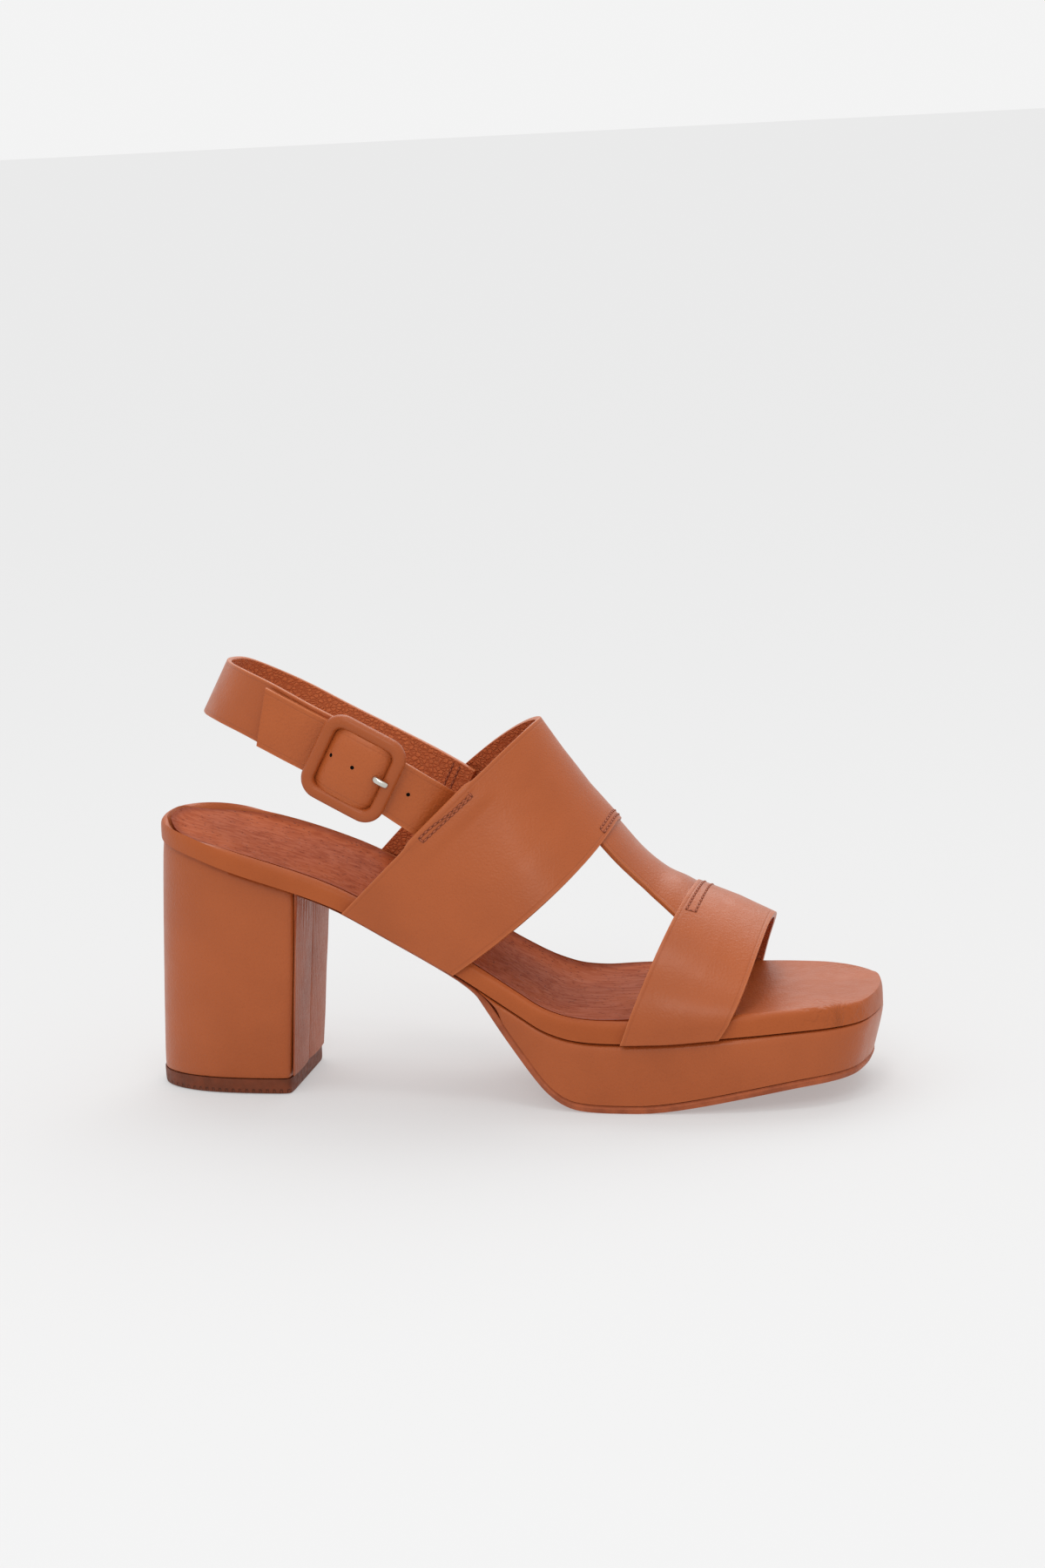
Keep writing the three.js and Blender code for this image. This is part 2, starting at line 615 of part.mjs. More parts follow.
// Closed shell between an inner grid of points and the same grid moved out by the wall
function shell(name, grid, wall, material = undefined) {
  const rows = grid.length;
  const columns = grid[0].length;
  const at = (i, j) => grid[THREE.MathUtils.clamp(i, 0, rows - 1)][THREE.MathUtils.clamp(j, 0, columns - 1)];
  const vertices = [];
  const outer = [];
  for (let i = 0; i < rows; i += 1) {
    for (let j = 0; j < columns; j += 1) {
      const across = at(i, j + 1).clone().sub(at(i, j - 1));
      const along = at(i + 1, j).clone().sub(at(i - 1, j));
      const normal = along.cross(across).normalize();
      vertices.push(at(i, j).toArray());
      outer.push(at(i, j).clone().addScaledVector(normal, wall).toArray());
    }
  }
  const offset = vertices.length;
  vertices.push(...outer);
  const id = (i, j) => i * columns + j;
  const triangles = [];
  const quad = (a, b, c, d) => triangles.push([a, b, c], [a, c, d]);
  const lastRow = rows - 1;
  const lastColumn = columns - 1;
  for (let i = 0; i < lastRow; i += 1) {
    for (let j = 0; j < lastColumn; j += 1) {
      quad(id(i, j), id(i, j + 1), id(i + 1, j + 1), id(i + 1, j));
      quad(offset + id(i, j), offset + id(i + 1, j), offset + id(i + 1, j + 1), offset + id(i, j + 1));
    }
    quad(id(i, 0), id(i + 1, 0), offset + id(i + 1, 0), offset + id(i, 0));
    quad(id(i + 1, lastColumn), id(i, lastColumn), offset + id(i, lastColumn), offset + id(i + 1, lastColumn));
  }
  for (let j = 0; j < lastColumn; j += 1) {
    quad(id(0, j + 1), id(0, j), offset + id(0, j), offset + id(0, j + 1));
    quad(id(lastRow, j), id(lastRow, j + 1), offset + id(lastRow, j + 1), offset + id(lastRow, j));
  }
  return meshOf(name, vertices, triangles, material);
}

// Crest of the last over the instep and the forefoot, as a height above the ball
const crestHeight = (row) => BALL_HEIGHT + (row.crest < 0.7 ? row.rise * INSTEP_HEIGHT : row.rise * VAMP_HEIGHT);

// One section of a band: from the seam on one side over the crest to the seam on the other
function bandSection(row, steps) {
  const crest = { x: row.crest * FOOTBED_LENGTH, y: row.lean * BALL_WIDTH, z: crestHeight(row) };
  const half = (side) => {
    const sign = SIDES[side];
    const footX = row[side] * FOOTBED_LENGTH;
    const sweep = side === "lateral" ? row.sweepLateral : row.sweepMedial;
    const rimAt = (x) => topLine(x, sign * halfWidths[side](x));
    const footZ = rimAt(footX) - FOOTBED_EDGE;
    const climb = crest.z - footZ;
    const place = (h, spread) => {
      const run = 1 - (1 - h) ** sweep;
      const x = footX + (crest.x - footX) * run + row.bow * FOOTBED_LENGTH * Math.sin(Math.PI * h);
      const width = halfWidths[side](x) + FIT;
      return new THREE.Vector3(x, crest.y * h * h + sign * width * spread, footZ + climb * h);
    };
    const points = [];
    const slope = ((crest.x - footX) * sweep + row.bow * FOOTBED_LENGTH * Math.PI) / climb;
    const rimSlope = rimAt(footX + 0.5) - rimAt(footX - 0.5);
    const drop = (RAND_HEIGHT - FOOTBED_EDGE) / (1 - rimSlope * slope);
    for (let i = 0; i < 2; i += 1) {
      const down = drop * (1 - i / 2);
      const x = footX - slope * down;
      points.push(new THREE.Vector3(x, sign * (halfWidths[side](x) + FIT), footZ - down));
    }
    for (let i = 0; i <= steps; i += 1) {
      const angle = (i / steps) * (Math.PI / 2);
      points.push(place(Math.sin(angle) ** (2 / row.full), Math.cos(angle) ** (2 / row.full)));
    }
    return points;
  };
  const lateral = half("lateral");
  const medial = half("medial").reverse().slice(1);
  return [...lateral, ...medial];
}

// Row of a section table between two rows, every column blended
function blendRows(rows, share) {
  const place = share * (rows.length - 1);
  const i = Math.min(Math.floor(place), rows.length - 2);
  const t = place - i;
  const blended = {};
  Object.keys(rows[i]).forEach((key) => {
    blended[key] = lerp(rows[i][key], rows[i + 1][key], t);
  });
  return blended;
}

// A band of the upper from its section table
function band(name, rows, lengths, steps) {
  const grid = [];
  for (let i = 0; i <= lengths; i += 1) grid.push(bandSection(blendRows(rows, i / lengths), steps));
  return shell(name, grid, STRAP_WALL, finish(LEATHER, 0.4));
}

// Tee strap: follows the crest, crowned across, its ends tucked under both bands
function teeStrap() {
  const lengths = 14;
  const columns = 10;
  const grid = [];
  for (let i = 0; i <= lengths; i += 1) {
    const row = blendRows(TEE_STRAP, i / lengths);
    const crown = [];
    for (let j = 0; j <= columns; j += 1) {
      const across = lerp(-1, 1, j / columns) * row.half * TEE_WIDTH;
      const drop = (row.bend * across ** 2) / (2 * TEE_CROWN);
      const z = BALL_HEIGHT + row.rise * INSTEP_HEIGHT - drop - TEE_TUCK;
      crown.push(new THREE.Vector3(row.at * FOOTBED_LENGTH, 0.03 * BALL_WIDTH + across, z));
    }
    grid.push(crown);
  }
  return shell("tee", grid, STRAP_WALL, finish(LEATHER, 0.4));
}

// Solid of a mesh for joining and cutting
function solidOf(mesh) {
  mesh.updateMatrixWorld(true);
  const geometry = mesh.geometry.clone().applyMatrix4(mesh.matrixWorld);
  geometry.deleteAttribute("normal");
  geometry.deleteAttribute("uv");
  const merged = mergeVertices(geometry, 1e-4);
  return new wasm.Manifold(new wasm.Mesh({
    numProp: 3,
    vertProperties: new Float32Array(merged.attributes.position.array),
    triVerts: new Uint32Array(merged.index.array),
  }));
}

// Mesh of a solid, as a named piece
function pieceOf(name, solid, material) {
  const result = solid.getMesh();
  const geometry = new THREE.BufferGeometry();
  geometry.setAttribute("position", new THREE.BufferAttribute(new Float32Array(result.vertProperties), 3));
  geometry.setIndex(new THREE.BufferAttribute(new Uint32Array(result.triVerts), 1));
  const mesh = new THREE.Mesh(geometry, material);
  mesh.name = name;
  return mesh;
}

// Upper: both bands and the tee strap, joined where they cross
function upper() {
  const instep = solidOf(band("instep", INSTEP_BAND, 8, 13));
  const front = solidOf(band("front", FRONT_BAND, 6, 12));
  const joined = instep.add(front).add(solidOf(teeStrap()));
  return pieceOf("upper", joined, finish(LEATHER, 0.4));
}

// Frame of the heel strap: along the strap towards the toe, across it upwards, and out from the leg
const alongStrap = new THREE.Vector3(Math.cos(HEEL_STRAP_SLOPE), 0, -Math.sin(HEEL_STRAP_SLOPE));
const acrossStrap = new THREE.Vector3(Math.sin(HEEL_STRAP_SLOPE), 0, Math.cos(HEEL_STRAP_SLOPE));
const sideways = new THREE.Vector3(0, 1, 0);
const strapBack = new THREE.Vector3(HEEL_STRAP_BACK, 0, HEEL_STRAP_HEIGHT);

function strapPoint(reach, side, lift) {
  return strapBack.clone()
    .addScaledVector(alongStrap, reach)
    .addScaledVector(sideways, side)
    .addScaledVector(acrossStrap, lift);
}

// Depths out from the leg at the buckle, measured from the inner face of the heel strap
const strapFloor = HEEL_STRAP_WALL + FIT;
const frameFloor = strapFloor + BUCKLE_STRAP_WALL + FIT;
const barDepth = frameFloor + BAR_RADIUS - 0.8;
const eyeRadius = BAR_RADIUS + FIT + EYE_WALL;
const strapCrown = barDepth + eyeRadius + FIT;

// Both strap ends reach this far past the rear edge of the instep band, measured along the straps
const bandEdge = lerp(INSTEP_BAND[0].lateral, INSTEP_BAND[0].crest, 0.53) * FOOTBED_LENGTH;
const strapEnd = (bandEdge - HEEL_STRAP_BACK) / Math.cos(HEEL_STRAP_SLOPE) + STRAP_OVERLAP;
const anchorReach = strapEnd - BUCKLE_REACH;

// Group whose axes are along, across and out from the strap at the buckle
function buckleGroup() {
  const group = new THREE.Group();
  const outwards = sideways.clone().negate();
  group.quaternion.setFromRotationMatrix(new THREE.Matrix4().makeBasis(alongStrap, acrossStrap, outwards));
  group.position.copy(strapPoint(BUCKLE_REACH, -HEEL_STRAP_SPREAD / 2, BUCKLE_LIFT));
  return group;
}

// Ring or block in the buckle's own axes, laid along the strap's width
function ring(outer, inner, width) {
  const shape = new THREE.Shape().absarc(0, 0, outer, 0, 2 * Math.PI);
  shape.holes.push(new THREE.Path().absarc(0, 0, inner, 0, 2 * Math.PI, true));
  const geometry = new THREE.ExtrudeGeometry(shape, { depth: width, bevelEnabled: false, curveSegments: 16 });
  geometry.translate(0, 0, -width / 2);
  geometry.rotateX(-Math.PI / 2);
  geometry.translate(0, 0, barDepth);
  return new THREE.Mesh(geometry);
}

function block(length, width, height, x, y, z) {
  const mesh = new THREE.Mesh(new THREE.BoxGeometry(length, width, height));
  mesh.position.set(x, y, z);
  return mesh;
}

// Strap shell through a smooth line of centre points with their directions across
function ribbon(points, crosses, width, stepsAlong, columns) {
  const centre = new THREE.CatmullRomCurve3(points, false, "centripetal");
  const cross = new THREE.CatmullRomCurve3(crosses, false, "centripetal");
  const grid = [];
  for (let i = 0; i <= stepsAlong; i += 1) {
    const t = i / stepsAlong;
    const middle = centre.getPoint(t);
    const direction = cross.getPoint(t).normalize();
    const row = [];
    for (let j = 0; j <= columns; j += 1) {
      row.push(middle.clone().addScaledVector(direction, (j / columns - 0.5) * width));
    }
    grid.push(row);
  }
  return grid;
}

// Heel strap: from the eye round the buckle's bar, behind the heel, to inside the instep band
function heelStrap() {
  const points = HEEL_STRAP_LINE.map((row) => {
    const span = row.side > 0 ? strapEnd : BUCKLE_REACH;
    return strapPoint(row.reach * span, row.side * HEEL_STRAP_SPREAD, row.lift * HEEL_STRAP_WIDTH);
  });
  const crosses = HEEL_STRAP_LINE.map((row) => acrossStrap.clone().addScaledVector(sideways, row.lean));
  const group = buckleGroup();
  const away = (row) => row.clone().applyQuaternion(group.quaternion).add(group.position);
  points.unshift(away(new THREE.Vector3(0, 0, barDepth - eyeRadius + EYE_WALL / 2 - HEEL_STRAP_WALL)));
  crosses.unshift(acrossStrap.clone());
  const grid = ribbon(points, crosses, HEEL_STRAP_WIDTH, 44, 2).reverse();
  const strap = solidOf(shell("strap", grid, HEEL_STRAP_WALL));
  const eye = ring(eyeRadius, BAR_RADIUS + FIT, HEEL_STRAP_WIDTH - 1);
  const notch = block(3 * eyeRadius, EYE_NOTCH, 4 * eyeRadius, eyeRadius / 2, 0, barDepth);
  group.add(eye, notch);
  group.updateMatrixWorld(true);
  const folded = solidOf(eye).subtract(solidOf(notch));
  return pieceOf("heel_strap", strap.subtract(solidOf(notch)).add(folded), finish(LEATHER, 0.4));
}

// Buckle strap: from inside the instep band under the frame, over its bar, and out along the heel strap
function buckleStrap() {
  const place = (row) => new THREE.Vector3(
    row.along < 0 ? row.along * BUCKLE_STRAP_TAIL : row.along * anchorReach,
    -row.drop * BUCKLE_STRAP_WIDTH,
    lerp(strapFloor, strapCrown, row.out),
  );
  const points = BUCKLE_STRAP_LINE.map(place);
  const crosses = BUCKLE_STRAP_LINE.map((row) => new THREE.Vector3(0, 1, -row.turn));
  const grid = ribbon(points, crosses, BUCKLE_STRAP_WIDTH, 44, 2);
  const strap = solidOf(shell("strap", grid, BUCKLE_STRAP_WALL));
  const hole = block(PRONG_SLOT, PRONG_HOLE, 2 * strapCrown, PRONG_SLOT / 2 + 0.7, 0, strapCrown);
  const tailCut = block(12, 2 * BUCKLE_STRAP_WIDTH, 8, -BUCKLE_STRAP_TAIL - 2, 0, strapFloor);
  tailCut.rotation.z = TAIL_CUT;
  return pieceOf("buckle_strap", strap.subtract(solidOf(hole)).subtract(solidOf(tailCut)), finish(LEATHER, 0.4));
}

// Rounded square outline centred on the buckle
function roundedSquare(size, radius) {
  const half = size / 2;
  const shape = new THREE.Shape();
  shape.absarc(half - radius, half - radius, radius, 0, Math.PI / 2);
  shape.absarc(radius - half, half - radius, radius, Math.PI / 2, Math.PI);
  shape.absarc(radius - half, radius - half, radius, Math.PI, 1.5 * Math.PI);
  shape.absarc(half - radius, radius - half, radius, 1.5 * Math.PI, 2 * Math.PI);
  return shape;
}

// Buckle frame: leather-covered rounded square with soft puffed edges
function buckleFrame() {
  const bevel = BUCKLE_BAND * 0.4;
  const shape = roundedSquare(BUCKLE_SIZE - 2 * bevel, BUCKLE_CORNER - bevel);
  const opening = BUCKLE_SIZE - 2 * BUCKLE_BAND + 2 * bevel;
  shape.holes.push(roundedSquare(opening, BUCKLE_CORNER - BUCKLE_BAND + bevel));
  const geometry = new THREE.ExtrudeGeometry(shape, {
    depth: BUCKLE_THICKNESS - 2 * bevel,
    bevelThickness: bevel,
    bevelSize: bevel,
    bevelSegments: 3,
    curveSegments: 5,
  });
  geometry.translate(0, 0, frameFloor + bevel);
  const mesh = new THREE.Mesh(geometry, finish(LEATHER, 0.38));
  mesh.name = "buckle_frame";
  return mesh;
}

// Centre bar that joins the two long sides of the frame
function buckleBar() {
  const length = BUCKLE_SIZE - 2 * BUCKLE_BAND - 2 * FIT;
  const mesh = new THREE.Mesh(new THREE.CylinderGeometry(BAR_RADIUS, BAR_RADIUS, length, 16), finish(STEEL, 0.3, 1));
  mesh.position.set(0, 0, barDepth);
  mesh.name = "buckle_bar";
  return mesh;
}

// Prong: a loop round the bar and a straight arm that rests on the frame's front side
function prong() {
  const rest = frameFloor + BUCKLE_THICKNESS + FIT;
  const tip = (BUCKLE_SIZE - BUCKLE_BAND) / 2 + 0.4;
  const root = 1.2;
  const start = barDepth + BAR_RADIUS + FIT;
  const shape = new THREE.Shape([
    new THREE.Vector2(root, start),
    new THREE.Vector2(tip - 2.6, rest),
    new THREE.Vector2(tip, rest),
    new THREE.Vector2(tip, rest + PRONG_THICKNESS * 0.7),
    new THREE.Vector2(tip - 2.6, rest + PRONG_THICKNESS),
    new THREE.Vector2(root - 0.6, start + PRONG_THICKNESS - 0.5),
  ]);
  const arm = new THREE.ExtrudeGeometry(shape, { depth: PRONG_WIDTH, bevelEnabled: false });
  arm.translate(0, 0, -PRONG_WIDTH / 2);
  arm.rotateX(Math.PI / 2);
  const loop = ring(BAR_RADIUS + FIT + 0.7, BAR_RADIUS + FIT, PRONG_WIDTH);
  return pieceOf("prong", solidOf(new THREE.Mesh(arm)).add(solidOf(loop)), finish(STEEL, 0.25, 1));
}

const buckle = buckleGroup();
buckle.add(buckleStrap(), buckleFrame(), buckleBar(), prong());

// The model stands with the middle of the heel's tread at the origin
const sandal = new THREE.Group();
sandal.position.x = HEEL_BACK_LEAN - HEEL_FOOT_LENGTH / 2;
sandal.add(footbed(), sock(), platform(), outsole(), heelBlock(), heelTip(), upper(), heelStrap(), buckle);
export default sandal;
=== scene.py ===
"""Looks of a tan leather platform sandal with a block heel, a tee-strap upper and a buckled heel strap."""

from __future__ import annotations

import json
import logging
import math
from dataclasses import dataclass, field
from enum import Enum
from typing import Callable, Sequence

import bmesh
import bpy
from mathutils import Matrix, Vector
from mathutils.kdtree import KDTree

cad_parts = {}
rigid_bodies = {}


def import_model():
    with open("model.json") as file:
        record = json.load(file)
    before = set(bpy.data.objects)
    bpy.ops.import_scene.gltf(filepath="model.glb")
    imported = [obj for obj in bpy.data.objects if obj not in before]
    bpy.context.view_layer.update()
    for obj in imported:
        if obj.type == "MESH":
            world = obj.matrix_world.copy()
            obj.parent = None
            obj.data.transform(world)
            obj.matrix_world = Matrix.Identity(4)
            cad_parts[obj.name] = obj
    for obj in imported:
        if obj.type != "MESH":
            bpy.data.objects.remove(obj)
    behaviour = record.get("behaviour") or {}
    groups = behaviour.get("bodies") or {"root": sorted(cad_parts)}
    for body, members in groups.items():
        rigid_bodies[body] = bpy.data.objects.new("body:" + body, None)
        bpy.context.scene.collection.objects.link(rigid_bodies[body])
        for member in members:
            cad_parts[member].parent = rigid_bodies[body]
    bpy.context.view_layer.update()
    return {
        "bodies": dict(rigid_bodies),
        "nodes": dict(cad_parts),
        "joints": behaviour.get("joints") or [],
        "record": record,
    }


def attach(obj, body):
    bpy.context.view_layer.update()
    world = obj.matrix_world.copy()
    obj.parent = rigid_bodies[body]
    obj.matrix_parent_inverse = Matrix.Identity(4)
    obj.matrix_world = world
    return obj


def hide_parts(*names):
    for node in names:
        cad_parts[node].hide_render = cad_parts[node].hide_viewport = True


LOG = logging.getLogger("sandal")
MM = 0.001
ORIGIN_SHIFT = -19.9
EDGE_MAP = "edge"
EDGE_UNIT = 100.0
INSTEP_HEIGHT = 90.0
EDGE_GATHER = 0.6
MERGE_WITHIN = 2e-6
SLOPE_STEP = 0.002
HARD_EDGE = math.radians(50)
ROUND_EDGE = math.radians(60)
SPECKS = 2600
FINE_GRAIN = 1100
SHEEN = (1.0, 0.84, 0.72, 1)
WARM_SHEEN = (1.0, 0.7, 0.5, 1)
RUBBER_SHEEN = (1.0, 0.74, 0.55, 1)
COAT_SHEEN = (1.0, 0.9, 0.8, 1)
Surface = Callable[[float, float], Vector]
Colour = tuple[float, float, float]


class SmoothCurve:
    """Monotone cubic through points, the same rule as the part's own tables."""

    def __init__(self, xs: Sequence[float], ys: Sequence[float]) -> None:
        """Keep the points and work out the slopes.

        Args:
            xs: Places in rising order.
            ys: Value at each place.
        """
        self.xs, self.ys = list(xs), list(ys)
        steps = [(ys[i + 1] - ys[i]) / (xs[i + 1] - xs[i]) for i in range(len(xs) - 1)]
        self.slopes = [steps[0]]
        for before, after in zip(steps, steps[1:]):
            product = before * after
            self.slopes.append(0.0 if product <= 0 else 2 * product / (before + after))
        self.slopes.append(steps[-1])

    def __call__(self, x: float) -> float:
        """Value at a place, straight beyond both ends.

        Args:
            x: The place.

        Returns:
            The value there.
        """
        xs, ys, slopes = self.xs, self.ys, self.slopes
        if x <= xs[0]:
            return ys[0] + (x - xs[0]) * slopes[0]
        if x >= xs[-1]:
            return ys[-1] + (x - xs[-1]) * slopes[-1]
        i = next(k for k in range(1, len(xs)) if x <= xs[k]) - 1
        step = xs[i + 1] - xs[i]
        t = (x - xs[i]) / step
        ease = t * t * (3 - 2 * t)
        bend = t * (1 - t) * (1 - t) * step * slopes[i] + t * t * (t - 1) * step * slopes[i + 1]
        return ys[i] * (1 - ease) + ys[i + 1] * ease + bend


class SmoothPath:
    """Centripetal curve through points in space."""

    def __init__(self, points: Sequence[Vector]) -> None:
        """Keep the points and measure the curve.

        Args:
            points: The points that the curve passes through.
        """
        self.points = [Vector(p) for p in points]
        samples = [self.raw(k / 400) for k in range(401)]
        self.lengths = [0.0]
        for a, b in zip(samples, samples[1:]):
            self.lengths.append(self.lengths[-1] + (b - a).length)

    def raw(self, share: float) -> Vector:
        """Point at a share of the number of spans.

        Args:
            share: 0 at the first point and 1 at the last.

        Returns:
            The point on the curve.
        """
        p = self.points
        place = share * (len(p) - 1)
        i = min(int(place), len(p) - 2)
        t = place - i
        before = p[i - 1] if i > 0 else 2 * p[0] - p[1]
        after = p[i + 2] if i + 2 < len(p) else 2 * p[-1] - p[-2]
        knots = [before, p[i], p[i + 1], after]
        gaps = [max((b - a).length, 1e-9) ** 0.5 for a, b in zip(knots, knots[1:])]
        a, b, c = gaps
        leave = ((knots[1] - knots[0]) / a - (knots[2] - knots[0]) / (a + b) + (knots[2] - knots[1]) / b) * b
        reach = ((knots[2] - knots[1]) / b - (knots[3] - knots[1]) / (b + c) + (knots[3] - knots[2]) / c) * b
        cubic = 2 * knots[1] - 2 * knots[2] + leave + reach
        square = -3 * knots[1] + 3 * knots[2] - 2 * leave - reach
        return ((cubic * t + square) * t + leave) * t + knots[1]

    def share_at(self, even: float) -> float:
        """Span share of an evenly measured place.

        Args:
            even: Share of the curve's length.

        Returns:
            The share that raw() takes.
        """
        target = even * self.lengths[-1]
        low, high = 0, 400
        while high - low > 1:
            middle = (low + high) // 2
            if self.lengths[middle] < target:
                low = middle
            else:
                high = middle
        span = self.lengths[high] - self.lengths[low]
        return (low + (target - self.lengths[low]) / max(span, 1e-9)) / 400


def place(x: float, y: float, z: float) -> Vector:
    """Point of the object in metres from millimetres along the foot, to the inner side and up."""
    return Vector(((x + ORIGIN_SHIFT) * MM, y * MM, z * MM))


def smoothstep(value: float, low: float, high: float) -> float:
    """Soft ramp from 0 to 1.

    Args:
        value: Where on the ramp.
        low: Where it starts.
        high: Where it ends.

    Returns:
        The ramp's height.
    """
    t = min(max((value - low) / (high - low), 0.0), 1.0)
    return t * t * (3 - 2 * t)


# Finishes


class Graph:
    """A material's node tree with short calls for the nodes that the finishes share."""

    def __init__(self, name: str) -> None:
        """Start an empty material.

        Args:
            name: The material's name.
        """
        self.material = bpy.data.materials.new(name)
        self.material.use_nodes = True
        self.tree = self.material.node_tree
        self.shader = self.tree.nodes["Principled BSDF"]
        self.coords = self.tree.nodes.new("ShaderNodeTexCoord").outputs["Object"]

    def node(self, kind: str, **settings: object) -> bpy.types.Node:
        """Add a node and set its properties."""
        node = self.tree.nodes.new(kind)
        for key, value in settings.items():
            setattr(node, key, value)
        return node

    def link(self, out: bpy.types.NodeSocket, into: bpy.types.NodeSocket) -> None:
        """Join two sockets."""
        self.tree.links.new(out, into)

    def values(self, numbers: dict[str, object]) -> None:
        """Set inputs of the shader by name."""
        for name, number in numbers.items():
            self.shader.inputs[name].default_value = number

    def drive(self, name: str, out: bpy.types.NodeSocket) -> None:
        """Feed one input of the shader."""
        self.link(out, self.shader.inputs[name])

    def mapped(self, scale: tuple[float, float, float]) -> bpy.types.NodeSocket:
        """Object coordinates scaled along x, y and z."""
        node = self.node("ShaderNodeMapping")
        node.inputs["Scale"].default_value = scale
        self.link(self.coords, node.inputs["Vector"])
        return node.outputs["Vector"]

    def axis(self, vector: bpy.types.NodeSocket, name: str) -> bpy.types.NodeSocket:
        """One part of a vector: X, Y or Z."""
        parts = self.node("ShaderNodeSeparateXYZ")
        self.link(vector, parts.inputs[0])
        return parts.outputs[name]

    def noise(self, scale: float, detail: float = 3.0, vector: bpy.types.NodeSocket | None = None,
              distortion: float = 0.0) -> bpy.types.NodeSocket:
        """Fractal noise on object coordinates.

        Args:
            scale: Features per metre.
            detail: Octaves.
            vector: Other coordinates to use.
            distortion: How far the pattern is warped.

        Returns:
            The noise value.
        """
        node = self.node("ShaderNodeTexNoise")
        node.inputs["Scale"].default_value = scale
        node.inputs["Detail"].default_value = detail
        node.inputs["Distortion"].default_value = distortion
        self.link(vector or self.coords, node.inputs["Vector"])
        return node.outputs["Fac"]

    def cells(self, scale: float, feature: str = "F1",
              vector: bpy.types.NodeSocket | None = None) -> bpy.types.NodeSocket:
        """Distance in a cell pattern on object coordinates.

        Args:
            scale: Cells per metre.
            feature: Which distance.
            vector: Other coordinates to use.

        Returns:
            The distance value.
        """
        node = self.node("ShaderNodeTexVoronoi", feature=feature)
        node.inputs["Scale"].default_value = scale
        self.link(vector or self.coords, node.inputs["Vector"])
        return node.outputs["Distance"]

    def math(self, operation: str, first: bpy.types.NodeSocket,
             second: object = None) -> bpy.types.NodeSocket:
        """One step of arithmetic.

        Args:
            operation: Blender's name for the step.
            first: First value.
            second: Second value, a socket or a number, where the step has one.

        Returns:
            The result.
        """
        node = self.node("ShaderNodeMath", operation=operation)
        self.link(first, node.inputs[0])
        if isinstance(second, (int, float)):
            node.inputs[1].default_value = second
        elif second is not None:
            self.link(second, node.inputs[1])
        return node.outputs[0]

    def edge_distance(self) -> bpy.types.NodeSocket:
        """Distance from the nearest long edge in millimetres, from the piece's own map."""
        distance = self.axis(self.node("ShaderNodeUVMap", uv_map=EDGE_MAP).outputs["UV"], "Y")
        return self.math("MULTIPLY", distance, EDGE_UNIT)

    def ramp(self, value: bpy.types.NodeSocket, low: float, high: float, start: float,
             end: float) -> bpy.types.NodeSocket:
        """Value taken from one range to another, held at its ends.

        Args:
            value: The value.
            low: Low end of the range it has.
            high: High end of that range.
            start: What low becomes.
            end: What high becomes.

        Returns:
            The new value.
        """
        node = self.node("ShaderNodeMapRange", interpolation_type="SMOOTHSTEP")
        for key, number in (("From Min", low), ("From Max", high), ("To Min", start), ("To Max", end)):
            node.inputs[key].default_value = number
        self.link(value, node.inputs["Value"])
        return node.outputs["Result"]

    def blend(self, factor: bpy.types.NodeSocket, first: Colour | bpy.types.NodeSocket,
              second: Colour) -> bpy.types.NodeSocket:
        """Mix of two colours.

        Args:
            factor: Share of the second colour.
            first: First colour.
            second: Second colour.

        Returns:
            The mixed colour.
        """
        node = self.node("ShaderNodeMix", data_type="RGBA")
        self.link(factor, node.inputs[0])
        if isinstance(first, tuple):
            node.inputs[6].default_value = (*first, 1)
        else:
            self.link(first, node.inputs[6])
        node.inputs[7].default_value = (*second, 1)
        return node.outputs[2]

    def bump(self, height: bpy.types.NodeSocket, depth: float, strength: float = 1.0) -> None:
        """Add relief on top of any that is there already.

        Args:
            height: Height pattern from 0 to 1.
            depth: What 1 is worth, in metres.
            strength: Share of the effect.
        """
        node = self.node("ShaderNodeBump")
        node.inputs["Strength"].default_value = strength
        node.inputs["Distance"].default_value = depth
        self.link(height, node.inputs["Height"])
        socket = self.shader.inputs["Normal"]
        if socket.is_linked:
            self.link(socket.links[0].from_socket, node.inputs["Normal"])
        self.link(node.outputs["Normal"], socket)


def linear(red: int, green: int, blue: int) -> Colour:
    """Linear colour from display values from 0 to 255."""
    shares = (c / 255 for c in (red, green, blue))
    return tuple(((c + 0.055) / 1.055) ** 2.4 if c > 0.04045 else c / 12.92 for c in shares)


